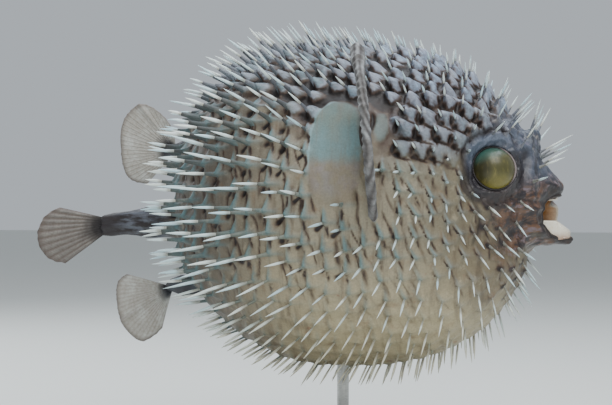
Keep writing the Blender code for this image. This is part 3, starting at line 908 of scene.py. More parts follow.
@dataclass(frozen=True)
class Body:
    """Ball, head, lips and tail stalk as one surface, measured from the centre of the ball."""

    semi_axes: Triple = (0.084, 0.080, 0.079)
    bulge: float = 0.010
    round_power: float = 2.05
    square_power: float = 2.40
    square_rear: float = 2.25
    # x, z, half width, half height
    head_sections: tuple = (
        (0.0400, 0.0080, 0.0500, 0.0480),
        (0.0600, 0.0080, 0.0480, 0.0450),
        (0.0680, 0.0068, 0.0440, 0.0385),
        (0.0770, 0.0065, 0.0390, 0.0335),
        (0.0860, 0.0080, 0.0325, 0.0312),
        (0.0905, 0.0090, 0.0288, 0.0296),
        (0.0960, 0.0088, 0.0246, 0.0278),
        (0.0974, 0.0069, 0.0232, 0.0257),
        (0.0983, 0.0024, 0.0220, 0.0212),
        (0.1035, -0.0008, 0.0182, 0.0178),
        (0.1075, -0.0026, 0.0150, 0.0155),
        (0.1092, -0.0039, 0.0136, 0.0141),
        (0.1100, -0.0060, 0.0128, 0.0120),
        (0.1120, -0.0078, 0.0104, 0.0100),
        (0.1138, -0.0092, 0.0076, 0.0074),
    )
    # distance behind the ball's centre, z, half width, half height
    stalk_sections: tuple = (
        (0.0700, -0.0055, 0.0120, 0.0130),
        (0.0850, -0.0068, 0.0088, 0.0098),
        (0.0950, -0.0074, 0.0068, 0.0080),
        (0.1100, -0.0082, 0.0048, 0.0067),
        (0.1210, -0.0090, 0.0034, 0.0058),
        (0.1265, -0.0095, 0.0026, 0.0051),
    )
    # degrees round the mouth from its top, and how far forwards the lips reach
    lip_reach: tuple = (
        (0, 0.1080), (24, 0.1077), (36, 0.1056), (46, 0.1028), (60, 0.1005), (85, 0.0990),
        (105, 0.0993), (117, 0.1016), (135, 0.1052), (155, 0.1092), (180, 0.1130),
    )
    mouth_skew: float = 0.0060
    mouth_height: float = -0.0050
    mouth_radius: float = 0.0131
    mouth_flatness: float = 0.0018
    lip_slope: float = 0.12
    lip_bulge: float = 0.0013
    skin_depth: float = 0.0003
    eye_height: float = 0.0175

    def ball(self, d: Array) -> Array:
        """Measures the ball.

        Args:
            d: unit directions, (n, 3).

        Returns:
            How far out its surface is along each.
        """
        upright = smooth(0.2, 0.8, np.abs(d[:, 2]) / np.maximum(1e-9, np.hypot(d[:, 1], d[:, 2])))
        rear = smooth(0.1, -0.5, d[:, 0])
        low_rear = smooth(0.1, -0.5, d[:, 2]) * rear
        square = self.square_power + (self.square_rear - self.square_power) * rear
        power = self.round_power + (square - self.round_power) * upright * (1 - low_rear)
        length = self.semi_axes[0] + self.bulge * upright * (d[:, 0] > 0)
        along = np.maximum(1e-9, np.abs(d[:, 0]) / length)
        across = np.maximum(1e-9, np.hypot(d[:, 1] / self.semi_axes[1], d[:, 2] / self.semi_axes[2]))
        return (along**power + across**power) ** (-1 / power)

    @staticmethod
    def backness(d: Array) -> Array:
        """Tells the back from the flanks: it begins higher up towards the tail.

        Args:
            d: unit directions, (..., 3).

        Returns:
            How far each is on the back, from 0 to 1.
        """
        rear = smooth(0.15, -0.35, d[..., 0])
        temple = smooth(0.25, 0.45, d[..., 0]) * smooth(0.85, 0.70, d[..., 0])
        return smooth(0, 1, (d[..., 2] - 0.18 - 0.36 * rear + 0.08 * temple) / (0.32 - 0.10 * rear))

    @staticmethod
    def loft(d: Array, sections: tuple, soften: float) -> Array:
        """How far out a run of elliptical sections along +X reaches.

        Args:
            d: unit directions, (n, 3), with x well above 0.
            sections: x, z, half width and half height of each.
            soften: the length over which corners between sections are rounded.

        Returns:
            The distance along each direction, or 0 where it misses.
        """
        table = np.array(sections)
        places = np.linspace(table[0, 0], table[-1, 0], 320)
        reach = max(1, round(soften / (places[1] - places[0])))
        kernel = np.ones(2 * reach + 1) / (2 * reach + 1)
        smoothed = []
        for column in (1, 2, 3):
            line = np.pad(np.interp(places, table[:, 0], table[:, column]), reach, mode="edge")
            smoothed.append(np.convolve(line, kernel, "valid"))
        height, wide, tall = smoothed
        found = np.zeros(len(d))
        for first in range(0, len(d), 20000):
            part = d[first : first + 20000]
            scale = places[None, :] / part[:, :1]
            excess = (part[:, 1:2] * scale / wide) ** 2 + ((part[:, 2:3] * scale - height) / tall) ** 2 - 1
            inside = excess < 0
            last = len(places) - 1 - np.argmax(inside[:, ::-1], axis=1)
            after = np.minimum(last + 1, len(places) - 1)
            rows = np.arange(len(part))
            near, far = excess[rows, last], excess[rows, after]
            share = np.where(after > last, near / np.minimum(-1e-12, near - far), 0.0)
            reached = places[last] + share * (places[1] - places[0])
            found[first : first + 20000] = np.where(inside.any(axis=1), reached / part[:, 0], 0.0)
        return found

    def lip(self, around: Array) -> tuple[Array, Array]:
        """Measures the lips.

        Args:
            around: angles round the mouth.

        Returns:
            How far along X the lips reach, and how far they are from the mouth's middle.
        """
        degrees = np.degrees(np.abs((around + math.pi) % TURN - math.pi))
        knots = np.array(self.lip_reach, float)
        fine = np.linspace(0, 180, 361)
        line = np.interp(fine, knots[:, 0], knots[:, 1])
        padded = np.concatenate((line[8:0:-1], line, line[-2:-10:-1]))
        line = np.convolve(padded, np.ones(17) / 17, "valid")
        reach = np.interp(degrees, fine, line)
        reach = reach + self.mouth_skew * np.maximum(0, np.sin(around)) * smooth(38, 88, degrees)
        return reach, self.mouth_radius - self.mouth_flatness * np.cos(around) ** 6

    def mouth_limit(self, d: Array) -> Array:
        """Measures the front of the lips.

        Args:
            d: unit directions that point forwards, (n, 3).

        Returns:
            How far out it is along each.
        """
        distance = 0.108 / d[:, 0]
        for _ in range(4):
            y, z = d[:, 1] * distance, d[:, 2] * distance - self.mouth_height
            reach, rim = self.lip(np.arctan2(y, z))
            outward = np.hypot(y, z)
            beyond = np.maximum(0.0, outward - rim)
            upper = smooth(0.70, 0.95, z / np.maximum(1e-9, outward))
            blunt = self.lip_bulge * smooth(0, 0.0024, beyond) * upper
            distance = (reach + blunt - self.lip_slope * beyond - 8.0 * beyond**2) / d[:, 0]
        return distance

    def radius(self, d: Array) -> Array:
        """Measures the skin.

        Args:
            d: unit directions, (n, 3).

        Returns:
            How far out it is along each.
        """
        out = self.ball(d)
        front = d[:, 0] > 0.45
        head = self.loft(d[front], self.head_sections, 0.0005)
        head = np.where(head > 0, head, 0.5 * out[front])
        joined = soft_max(out[front], head, 0.006)
        lips = self.mouth_limit(d[front])
        near_lips = smooth(0.90, 0.94, d[front, 0])
        out[front] = joined + (-soft_max(-joined, -lips, 0.0010) - joined) * near_lips
        rear = d[:, 0] < -0.75
        mirrored = d[rear] * np.array([-1.0, 1.0, 1.0])
        stalk = self.loft(mirrored, self.stalk_sections, 0.0030)
        stalk = np.where(stalk > 0, stalk, 0.5 * out[rear])
        out[rear] = soft_max(out[rear], stalk, 0.007)
        return out - self.skin_depth

    def surface(self, d: Array) -> tuple[Array, Array]:
        """Finds places on the skin.

        Args:
            d: unit directions, (n, 3).

        Returns:
            Where each meets the skin, and the skin's outward normal there.
        """
        aside = np.array([0.0, 0.0, 1.0]) + np.abs(d[:, 2:3]) * np.array([0.31, 0.0, -0.6])
        side = unit(np.cross(d, aside))
        up = np.cross(d, side)
        step = 0.012
        near = [unit(d + move * step) for move in (side, -side, up, -up)]
        ends = [n * self.radius(n)[:, None] for n in near]
        normals = unit(np.cross(ends[0] - ends[1], ends[2] - ends[3]))
        normals *= np.sign(np.sum(normals * d, axis=1))[:, None]
        return d * self.radius(d)[:, None], normals

    def directions(self, around: Array, from_snout: Array) -> Array:
        """Unit directions of a point on the skin.

        Args:
            around: angle round the body.
            from_snout: angle from the line through the mouth, back to the tail.

        Returns:
            Directions, (..., 3). Their poles are the middle of the mouth and the end of the stalk.
        """
        reach, rim = self.lip(around)
        start = np.arctan2(rim, reach)
        front = smooth(math.radians(45), start, from_snout)
        rear = smooth(math.radians(135), math.radians(175), from_snout)
        end = self.stalk_sections[-1]
        lift = front * self.mouth_height / reach * np.cos(start) + rear * end[1] / end[0]
        across = np.sin(from_snout)
        return unit(np.stack((np.cos(from_snout), across * np.sin(around), across * np.cos(around) + lift), -1))


@dataclass(frozen=True)
class Coat:
    """The spines: where each grows, which way and how long."""

    body: Body
    eye: Vector
    spacing_front: float = 0.0094
    spacing_rear: float = 0.0112
    denser_on_back: float = 0.13
    sweep: float = math.radians(30)
    length_head: float = 0.0116
    length_rear: float = 0.0225
    length_belly: float = 0.0120
    length_forehead: float = 0.0165
    shorter_on_back: float = 0.16
    shorter_at_rear: float = 0.24
    uneven_place: float = 0.13
    uneven_lean: float = math.radians(6)
    uneven_length: float = 0.12
    droop: float = 0.34

    def bare_places(self) -> tuple:
        """Lists the places where no spine grows or leans.

        Returns:
            Each one's centre, and its radii along X, Y and Z.
        """
        eye = tuple(self.eye)
        return (
            (eye, (0.0140, 0.0140, 0.0140)),
            ((0.102, 0, -0.003), (0.021, 0.027, 0.0245)),
            ((0.0300, 0.066, 0.034), (0.0080, 0.030, 0.0150)),
            ((0.0235, 0.068, 0.034), (0.0085, 0.030, 0.0230)),
            ((0.0270, 0.080, 0.000), (0.0070, 0.020, 0.0110)),
            ((0.0095, 0.074, 0.026), (0.0120, 0.030, 0.0255)),
            ((-0.086, 0, -0.006), (0.014, 0.0135, 0.0150)),
            ((-0.082, 0, 0.027), (0.014, 0.0080, 0.0105)),
            ((-0.076, 0, -0.040), (0.014, 0.0080, 0.0105)),
            ((0, 0, -0.079), (0.0060, 0.0060, 0.010)),
        )

    def lattice(self) -> tuple[Array, Array]:
        """Finds every place for a spine, in staggered rings.

        Returns:
            Their angles round the body, and their angles from the snout.
        """
        size = self.body.semi_axes[0]
        around, from_snout = [], []
        level, ring = math.radians(6), 0
        while level < math.radians(176):
            share = float(smooth(math.radians(40), math.radians(110), level))
            spacing = self.spacing_front + (self.spacing_rear - self.spacing_front) * share
            count = max(3, round(TURN * size * math.sin(level) / spacing))
            index = np.arange(count) + 1000 * ring
            turn = (np.arange(count) + 0.5 * (ring % 2) + self.uneven_place * uneven(index, 1)) / count
            turn = turn * TURN
            around.append(turn - self.denser_on_back * np.sin(turn))
            step = spacing * math.sin(math.radians(60)) / size
            from_snout.append(level + self.uneven_place * uneven(index, 2) * step)
            level += step
            ring += 1
        return np.concatenate(around), np.concatenate(from_snout)

    def lengths(self, d: Array) -> Array:
        """Spines are short on head, cheeks and belly, long behind the pectoral fins and on the forehead.

        Args:
            d: unit directions, (n, 3).

        Returns:
            A spine's length along each.
        """
        back = smooth(0.2, 0.7, d[:, 2])
        rearward = np.clip((0.10 + 0.45 * back - d[:, 0]) / (0.60 + 0.45 * back), 0, 1)
        rearward = rearward**2 * (3 - 2 * rearward)
        length = self.length_head + (self.length_rear - self.length_head) * rearward
        length *= 1 - self.shorter_on_back * back
        length *= 1 - self.shorter_at_rear * smooth(-0.55, -0.90, d[:, 0])
        length += (self.length_belly - length) * smooth(-0.20, -0.90, d[:, 2])
        forehead = smooth(0.80, 0.90, d[:, 0]) * smooth(0.12, 0.28, d[:, 2])
        return length + (self.length_forehead - length) * forehead

    def grown(self) -> dict[str, Array]:
        """Every spine that grows.

        Returns:
            root, normal, axis, ahead and above as (n, 3); length, around, from_snout and index as (n,).
        """
        around, from_snout = self.lattice()
        index = np.arange(len(around))
        d = self.body.directions(around, from_snout)
        root, normal = self.body.surface(d)
        tailward = np.array([-1.0, 0.0, 0.0])
        tailward = unit(tailward - normal * (normal @ tailward)[:, None])
        forehead = smooth(0.80, 0.90, d[:, 0])
        sweep = self.sweep * (1 - forehead) * smooth(-0.99, -0.80, d[:, 0])
        cheek = smooth(0.78, 0.92, d[:, 0]) * smooth(0.45, 0.10, d[:, 2])
        sweep *= 1 - 0.65 * cheek
        axis = normal * np.cos(sweep)[:, None] + tailward * np.sin(sweep)[:, None]
        lean = np.stack([uneven(index, salt) for salt in (3, 4, 5)], -1) * math.tan(self.uneven_lean)
        droop = self.droop + 0.50 * smooth(0.70, 0.86, d[:, 0]) * smooth(-0.02, -0.22, d[:, 2])
        droop *= smooth(0.05, 0.40, d[:, 0]) * smooth(0.35, 0.0, d[:, 2])
        lean[:, 2] -= droop * (1 - forehead * smooth(-0.03, 0.12, d[:, 2]))
        raised = (forehead * smooth(0.10, 0.25, d[:, 2]))[:, None] * np.array([0.0, 0.0, 0.40])
        axis = unit(axis + lean + raised)
        length = self.lengths(d) * (1 + self.uneven_length * uneven(index, 6))
        keep = self.allowed(root, root + axis * length[:, None])
        ahead = -tailward
        above = np.cross(ahead, normal) * np.where(root[:, 1] > 0, -1.0, 1.0)[:, None]
        above *= np.sign(above[:, 2] + 1e-9)[:, None]
        found = {"root": root, "normal": normal, "axis": axis, "ahead": ahead, "above": above}
        found |= {"length": length, "around": around, "from_snout": from_snout, "index": index, "d": d}
        return {key: numbers[keep] for key, numbers in found.items()}

    def allowed(self, root: Array, tip: Array) -> Array:
        """Keeps spines off bare skin, and clear of the eyes, the fins, the stalk and the rod.

        Args:
            root: where each spine starts, (n, 3).
            tip: where it ends.

        Returns:
            Whether each may grow.
        """
        clear = np.ones(len(root), bool)
        for share in (0.0, 0.3, 0.6, 1.0):
            probe = root + (tip - root) * share
            probe[:, 1] = np.abs(probe[:, 1])
            for centre, radii in self.bare_places():
                clear &= reach_in(probe, centre, radii) > 1
        return clear & ~((tip[:, 0] < -0.080) & (np.abs(tip[:, 1]) < 0.004))


# ---- skin


@dataclass(frozen=True)
class EyePlace:
    """An eye's place and the way it looks out."""

    centre: Vector
    radius: float
    outward: Triple = (0.34, 0.90, 0.22)
    opening: float = 0.0099

    def axis(self, side: Side) -> Array:
        """The way one eye looks out."""
        return unit(np.array([self.outward[0], self.outward[1] * side.value, self.outward[2]]))

    def middle(self, side: Side) -> Array:
        """One eye's centre, from the ball's."""
        return np.array([self.centre.x, abs(self.centre.y) * side.value, self.centre.z])

    def seat(self) -> float:
        """How far out from the eye's centre the skin's round opening lies."""
        return math.sqrt(self.radius**2 - self.opening**2)


@dataclass
class Root:
    """One spine's root: where on the body it is, how the skin rises and sinks round it, and the sky sheen and
    shade painted round it.

    Lengths are millimetres. d is the way from the body's centre to the root, a and b are how far each point
    of the skin is from it towards the head and the back, and luck is six uneven numbers from -1 to 1.
    """

    d: Array
    a: Array
    b: Array
    luck: list[float]
    plate_length: float = 8.6
    plate_behind: float = 1.6
    plate_width: float = 5.1
    plate_height: float = 2.6
    tent_ahead: float = 6.5
    tent_behind: float = 1.7
    tent_width: float = 2.8
    tent_height: float = 0.8
    fore_length: float = 8.0
    fore_height: float = 1.6
    rise_length: float = 8.6
    rise_height: float = 2.3
    drop_length: float = 5.0
    drop_height: float = 0.9
    knob_height: float = 1.7
    pit_distance: float = 4.6

    def __post_init__(self) -> None:
        """Works out how far, from 0 to 1, the root is on the back, the belly and so on."""
        forward, up = self.d[0], self.d[2]
        self.back = float(Body.backness(self.d))
        self.belly = float(smooth(-0.15, -0.70, up))
        self.rear = float(smooth(0.25, -0.40, forward))
        self.front = float(smooth(0.10, 0.60, forward))
        self.head = float(smooth(0.70, 0.90, forward))
        self.cheek = float(smooth(0.35, 0.80, forward)) * (1 - self.back)
        self.temple = float(smooth(0.25, 0.50, forward) * smooth(0.66, 0.42, up))
        self.quiet = (1 - 0.78 * self.belly) * (1 - 0.5 * self.head)
        self.tilt = 0.20 * self.luck[2] - 0.42 * float(smooth(0.15, 0.60, forward)) * (1 - self.back)

    def plate(self) -> tuple[Array, Array]:
        """Works out the plate of the back, which spreads ahead of the root.

        Returns:
            How high it stands, and how much painted sky sheen it takes, more where it stands higher.
        """
        a, b = self.a, self.b
        swing = 0.40 * (1 - self.rear) * float(smooth(0.85, 0.45, self.d[2])) + 0.45 * self.luck[2]
        along, over = a * math.cos(swing) + b * math.sin(swing), b * math.cos(swing) - a * math.sin(swing)
        fan = np.arctan2(over, along + 3.0)
        lines = 0.5 + 0.5 * np.sin(23 * fan + 6 * self.luck[0] + 0.9 * np.sin(9 * fan))
        length = self.plate_length + 1.6 * self.temple + 1.3 * self.luck[3]
        wide = self.plate_width + 1.1 * self.temple - 0.22 * np.clip(along, 0, length) + 1.5 * self.luck[4]
        bent = np.hypot(along / np.where(along > 0, length, self.plate_behind), over / wide)
        dome = np.maximum(0, 1 - bent**2) ** 0.5
        dome = dome + (1.25 * np.maximum(0, 1 - bent) ** 0.9 - dome) * self.rear
        height = (1 - 0.050 * np.maximum(0, along)) * dome * smooth(-1.5, -0.1, along)
        full_height = self.plate_height + 1.3 * self.rear + 1.1 * self.luck[0]
        height *= full_height * (1 - 0.4 * self.head) * (1 + 0.10 * lines)
        # painted light: the plate grows paler as it stands higher, as if lit from above
        pale = smooth(0.5 + 0.6 * self.rear, 1.5 + 1.3 * self.rear, height) * self.back
        return height * self.back, pale * (0.60 + 0.30 * lines + 0.40 * self.luck[5])

    def fading(self) -> Array:
        """How the ridge that rises from the root fades from 1 towards its end."""
        length = self.rise_length + 0.9 * self.luck[1] - 2.0 * self.back - 2.6 * self.cheek
        return np.maximum(0, 1 - self.b / length) * (self.b > 0)

    def ridges(self) -> tuple[Array, Array]:
        """Works out the plate, the tent, the knob and the ridges at the root.

        Returns:
            How high they stand, and how far they take the pale ridge colour on the flanks and the painted sky
            sheen on the back.
        """
        a, b, fading = self.a, self.b, self.fading()
        bent = np.hypot(a / np.where(a > 0, self.tent_ahead, self.tent_behind), b / self.tent_width)
        tent = (self.tent_height + 0.4 * self.rear) * self.quiet * np.maximum(0, 1 - bent) ** 1.3
        fore = (self.fore_height + 0.5 * self.rear) * self.quiet
        fore = fore * np.maximum(0, 1 - a / self.fore_length) ** 1.1 * (a > 0)
        fore *= bell(b / (0.80 + 0.10 * np.abs(a)))
        rise = (self.rise_height + 0.4 * self.luck[1]) * self.quiet * (1 - 0.35 * self.cheek) * fading**0.9
        rise *= bell((a - self.tilt * b) / (0.34 + 0.85 * fading))
        drop = self.drop_height * self.quiet * np.maximum(0, 1 + b / self.drop_length) ** 1.2 * (b < 0)
        drop *= bell((a + self.tilt * b) / 0.8)
        knob = self.knob_height * self.quiet * bell(a / 1.4, b / 1.3)
        plate, plate_sheen_share = self.plate()
        height = np.maximum.reduce([plate, tent, fore, rise * (1 - 0.6 * self.back), drop]) + 0.5 * knob
        pale = np.maximum.reduce([(0.60 - 0.25 * self.front) * fore, 1.1 * rise, 0.5 * drop, 0.8 * knob])
        pale = pale * (0.80 - 0.06 * self.front) * (1 - self.back)
        return height, np.clip(np.maximum(pale, plate_sheen_share), 0, 1)

    def hollows(self) -> tuple[Array, Array]:
        """Works out the hollows round the root.

        Returns:
            How deep they are, and how far they are in painted shadow.
        """
        a, b, forward, up = self.a, self.b, self.d[0], self.d[2]
        flank, offset, luck = 1 - self.belly, a - self.tilt * b, self.luck

        # a pit below and behind the root, and a streak that runs to it: sunk, and painted in shadow
        run, across = -0.78 * a - 0.63 * b, 0.63 * a - 0.78 * b
        end = self.pit_distance + 1.6 * luck[1]
        strong = np.clip(0.50 + 0.9 * luck[3], 0, 1) * flank
        strong *= min(1.0, 0.15 + 0.95 * self.rear + 0.30 * float(smooth(0.0, 0.30, up)))
        pit = strong * bell((run - end) / 2.0, across / (1.35 + 0.5 * luck[4]))
        streak = smooth(0.3, 1.2, run) * smooth(end + 2.5, end, run) * bell(across / (0.34 + 0.15 * run))
        streak = streak * (luck[5] > -0.1) * (1 - 0.8 * self.belly) * (1 - self.back)
        streak *= float(smooth(0.62, 0.20, forward))

        # under a plate's rim, behind it and along its lower edge: sunk, and painted in shadow
        cave = self.back * bell((a + 0.8) / 2.1, (b + 2.9) / 1.7) * min(1.0, 0.85 + 0.6 * luck[3])
        behind = self.back * bell((a + 2.7) / 1.35, b / 2.9)
        under = self.back * bell((b + 4.0 + 0.10 * a) / 0.8) * smooth(-2, 0, a) * smooth(8, 5, a)

        # painted shade beside the rising ridge, below the root, and round the roots next to the face
        ahead = float(smooth(0.10, 0.35, forward))
        beside = (0.65 + 0.28 * ahead) * (bell((offset + 1.5) / 0.45) * self.fading() * flank)
        below = bell(offset / 0.75) * smooth(-9.0, -5.0, b) * smooth(-1.0, -2.5, b)
        below = (0.66 - 0.14 * ahead) * (below * (1 - 0.65 * self.belly) * (luck[4] > -0.4))
        by_face = float(smooth(0.80, 0.87, forward) * smooth(-0.60, -0.35, up) * smooth(0.30, 0.15, up))
        spot = 0.9 * by_face * bell((a + 0.4) / 2.2, (b + 0.2) / 1.5)

        # the painted shadow at each point is the darkest of them
        dark = np.maximum.reduce([pit, cave, 0.95 * behind, 0.85 * streak, beside, below, 0.7 * under, spot])
        sunk = 1.7 * np.maximum(pit, cave) + 1.6 * behind + 0.8 * streak + 0.35 * below + 0.6 * under
        return sunk, np.clip(dark, 0, 1)


@dataclass(frozen=True)
class Face:
    """The furrows, folds and nostrils of the face."""

    jaw_height: float = 0.0012
    jaw_fall: float = 0.0018
    gap_above_jaw: float = 0.0034
    chin_height: float = -0.0072
    cheek_place: float = 0.0712
    lip_place: float = 0.1075
    neck_place: float = 0.0980
    nostril: Triple = (0.0955, 0.0135, 0.0215)
    nostril_radius: float = 0.0013

    def shaped(self, points: Array) -> tuple[Array, Array]:
        """Works out the face's form.

        Args:
            points: the smooth skin, (rows, columns, 3).

        Returns:
            How far each point is raised, and how far it takes painted shade in a furrow.
        """
        x, side, z = points[..., 0], np.abs(points[..., 1]), points[..., 2]
        neck = bell((x + 0.26 * side - self.neck_place) / 0.0019)
        neck = neck * smooth(0.008, 0.013, z) * smooth(0.030, 0.025, z)
        beside = side > 0.008
        height = self.jaw_height - self.jaw_fall * np.clip((x - 0.0800) / 0.0180, 0, 1)
        jaw = bell((z - height) / 0.0014) * smooth(0.0795, 0.0850, x) * beside
        gap = bell((z - height - self.gap_above_jaw) / 0.0010) * smooth(0.0775, 0.0840, x)
        gap = gap * smooth(0.1015, 0.0960, x) * beside
        chin = bell((z - self.chin_height + 0.10 * (x - 0.09)) / 0.0009) * smooth(0.0820, 0.0880, x)
        chin = chin * smooth(0.104, 0.099, x) * beside
        cheek = bell((x - self.cheek_place + 0.0016 * np.sin(z / 0.0042)) / 0.0009)
        cheek *= smooth(-0.020, -0.014, z) * smooth(0.008, 0.003, z) * (side > 0.02)
        lip = bell((x - self.lip_place + 0.35 * side) / 0.0009)
        lip = lip * smooth(0.0105, 0.0080, z) * smooth(0.0, 0.0030, z)
        hole = np.hypot(np.hypot(x - self.nostril[0], side - self.nostril[1]), z - self.nostril[2])

        face = smooth(0.078, 0.090, x)
        streaks = ripple(points * np.array([0.30, 1.0, 1.0]), 0.0042, 23) + 0.6 * ripple(points, 0.006, 27)
        # painted shade in the furrows, the nostrils and the low parts of the face's streaks
        furrow = np.maximum.reduce([neck, 0.8 * gap, 0.6 * chin, 0.75 * cheek, 0.9 * lip, hole < 0.0006])
        furrow = np.clip(furrow + face * 0.45 * smooth(0.5, 1.6, -streaks), 0, 1)
        raised = -1.1 * neck + 1.0 * jaw - 0.8 * gap - 0.5 * chin - 0.7 * cheek - 0.5 * lip
        raised = raised + 0.20 * streaks * face + 0.9 * bell((hole - self.nostril_radius) / 0.0006)
        return raised * MM, furrow


@dataclass
class Skin:
    """The whole skin: mouth, head, ball and stalk, raised into tents and ridges by the spines' roots."""

    body: Body
    coat: Coat
    eye: EyePlace
    centre: Vector
    columns: int = 760
    rows: int = 440
    mouth_rows: int = 34
    lip_rows: int = 12
    triangles: int = 196000
    merge: float = 5e-6
    reach: float = 0.0125
    fold_spacing: float = 0.0049
    lip_thickness: float = 0.0011
    lip_thinner_above: float = 0.0005
    lip_forward: float = 0.0009
    lip_back: float = 0.0010
    throat_place: float = 0.0800
    gill: Triple = (0.0262, 0.070, 0.039)
    gill_half_length: float = 0.0062
    gill_depth: float = 0.0018
    flap_height: float = 0.0010
    fine_wrinkle: float = 0.00016
    broad_wrinkle: float = 0.00035
    stalk_wrinkle: float = 0.00035
    masks: dict[str, Array] = field(default_factory=dict)

    def profile(self) -> Array:
        """Lays rows of points from the lips back to the end of the stalk.

        Returns:
            The smooth skin, (rows, columns, 3).
        """
        around = np.linspace(0, TURN, self.columns)
        reach, rim = self.body.lip(around)
        start = np.arctan2(rim, reach)
        # closer together over the face and over the tail stalk
        pieces = ((0, 0.18, 420, False), (0.18, 0.94, 560, False), (0.94, 1, 260, True))
        samples = np.concatenate([np.linspace(*piece) for piece in pieces])
        angles = start[None, :] + (math.pi - start[None, :]) * samples[:, None]
        d = self.body.directions(np.broadcast_to(around, angles.shape), angles)
        far = self.body.radius(d.reshape(-1, 3)).reshape(angles.shape)
        points = d * far[..., None]
        steps = np.linalg.norm(np.diff(points, axis=0), axis=2)
        weight = 1 + 1.3 * smooth(0.045, 0.080, points[1:, :, 0])
        run = np.concatenate((np.zeros((1, self.columns)), np.cumsum(steps * weight, axis=0)))
        out = np.empty((self.rows, self.columns, 3))
        for column in range(self.columns):
            wanted = np.linspace(0, run[-1, column], self.rows)
            for axis in range(3):
                out[:, column, axis] = np.interp(wanted, run[:, column], points[:, column, axis])
        return out

    def mouth(self, rim: Array) -> Array:
        """Lays rows of points from the middle of the throat out to the lips.

        Args:
            rim: the skin's first row, (columns, 3).

        Returns:
            The mouth's inside, (mouth_rows, columns, 3).
        """
        middle = np.array([0.0, 0.0, self.body.mouth_height])
        spread = rim - middle
        spread[:, 0] = 0
        size = np.linalg.norm(spread, axis=1)
        outward = spread / size[:, None]
        thick = self.lip_thickness - self.lip_thinner_above * smooth(0.3, 0.9, outward[:, 2:])
        rows = []
        for k in range(1, self.lip_rows + 1):
            turn = math.pi * k / self.lip_rows
            forward = self.lip_forward * math.sin(turn) - self.lip_back * k / self.lip_rows
            rows.append(rim - outward * (thick * (1 - math.cos(turn))) + np.array([forward, 0, 0]))
        edge = rows[-1]
        deep_rows = self.mouth_rows - self.lip_rows
        for k in range(1, deep_rows + 1):
            share = k / deep_rows
            narrow = (size - 0.0022) * (1 - 0.25 * share) * np.sqrt(max(0.0, 1 - share**5))
            ring = middle + outward * narrow[:, None]
            ring[:, 0] = edge[:, 0] + (self.throat_place - edge[:, 0]) * share
            rows.append(ring)
        return np.array(rows[::-1])

    @staticmethod
    def normals(points: Array) -> Array:
        """Works out outward normals.

        Args:
            points: a grid whose columns close into a ring, (rows, columns, 3).

        Returns:
            The normal at each.
        """
        along = np.gradient(points, axis=0)
        wrapped = np.concatenate((points[:, -2:-1], points, points[:, 1:2]), axis=1)
        across = (wrapped[:, 2:] - wrapped[:, :-2]) / 2
        found = unit(np.cross(across, along))
        return found * np.sign(np.median(np.sum(found * points, axis=2)))

    def raise_roots(self, points: Array, normals: Array) -> Array:
        """Lifts the skin over the spines' roots and sinks it between them.

        Args:
            points: the smooth skin, (rows, columns, 3).
            normals: its normals.

        Returns:
            How far each point moves, (rows, columns, 3). Fills in the masks as well.
        """
        shape = points.shape[:2]
        height, dent, ridge, shadow = (np.zeros(shape) for _ in range(4))
        lean = np.zeros((*shape, 3))
        nearest = np.full(shape, 1.0)
        spines = self.coat.grown()
        turns = np.linspace(0, TURN, self.columns)
        wide = self.reach + 0.007
        for i, root in enumerate(spines["root"]):
            ring = math.hypot(root[1], root[2])
            spread = math.asin(wide / ring) if ring > wide else math.pi
            gap = np.abs((turns - math.atan2(root[1], root[2]) + math.pi) % TURN - math.pi)
            block = np.nonzero(gap <= spread)[0]
            offset = points[:, block] - root
            distance = np.linalg.norm(offset, axis=2)
            rows, picked = np.nonzero(distance < self.reach)
            place = rows, block[picked]
            offset, distance = offset[rows, picked], distance[rows, picked]
            a, b = offset @ spines["ahead"][i] / MM, offset @ spines["above"][i] / MM
            luck = [float(uneven(spines["index"][i], salt)) for salt in (11, 12, 13, 14, 15, 16)]
            form = Root(spines["d"][i], a, b, luck)
            (raised, pale), (sunk, dark) = form.ridges(), form.hollows()
            stronger = raised > height[place]
            lean[place[0][stronger], place[1][stronger]] = spines["axis"][i]
            for most, here in ((height, raised), (ridge, pale), (shadow, dark), (dent, sunk)):
                most[place] = np.maximum(most[place], here)
            nearest[place] = np.minimum(nearest[place], distance)

        d = unit(points)
        back = self.body.backness(d)
        spiny = smooth(0.0125, 0.0075, nearest)
        sag = smooth(1.5 * MM, 6.5 * MM, np.minimum(nearest, 0.008)) * spiny * (1 + 1.3 * back)
        temple = smooth(0.25, 0.50, d[..., 0]) * smooth(0.66, 0.42, d[..., 2])
        # painted shade in the low ground between the back's plates and along the fine folds of the flanks
        valley_shade = back * spiny * smooth(1.40, 0.40, height) * (1 - 0.65 * temple)
        fold = self.folds(points, d)
        fold *= spiny * (1 - back) * smooth(0.75, 0.45, d[..., 0]) * (1 - ridge)
        shadow = np.maximum.reduce([shadow, 0.74 * valley_shade, 0.50 * fold])
        self.masks["ridge"] = ridge * (1 - smooth(0.25, 0.7, shadow))
        self.masks["shadow"] = shadow
        flat = (height - dent - 0.55 * sag - 0.55 * fold) * MM
        tilted = unit(normals + lean * 0.9)
        return np.where((height > 0.05)[..., None], tilted, normals) * flat[..., None]

    def folds(self, points: Array, d: Array) -> Array:
        """Works out the fine upright folds between the roots of the flanks.

        Args:
            points: the smooth skin, (rows, columns, 3).
            d: the points' directions from the centre.

        Returns:
            How far each point is on a fold.
        """
        along = points[..., 0] + 0.0017 * ripple(points, 0.021, 17)
        along += (0.12 + 0.28 * smooth(-0.02, 0.04, points[..., 0])) * points[..., 2]
        fold = np.maximum(0, np.sin(TURN * along / self.fold_spacing)) ** 2
        broken = ripple(points * np.array([1, 0.45, 0.45]), 0.011, 19)
        return fold * (smooth(-0.5, 0.5, broken) * (1 - 0.75 * smooth(-0.25, -0.75, d[..., 2])))

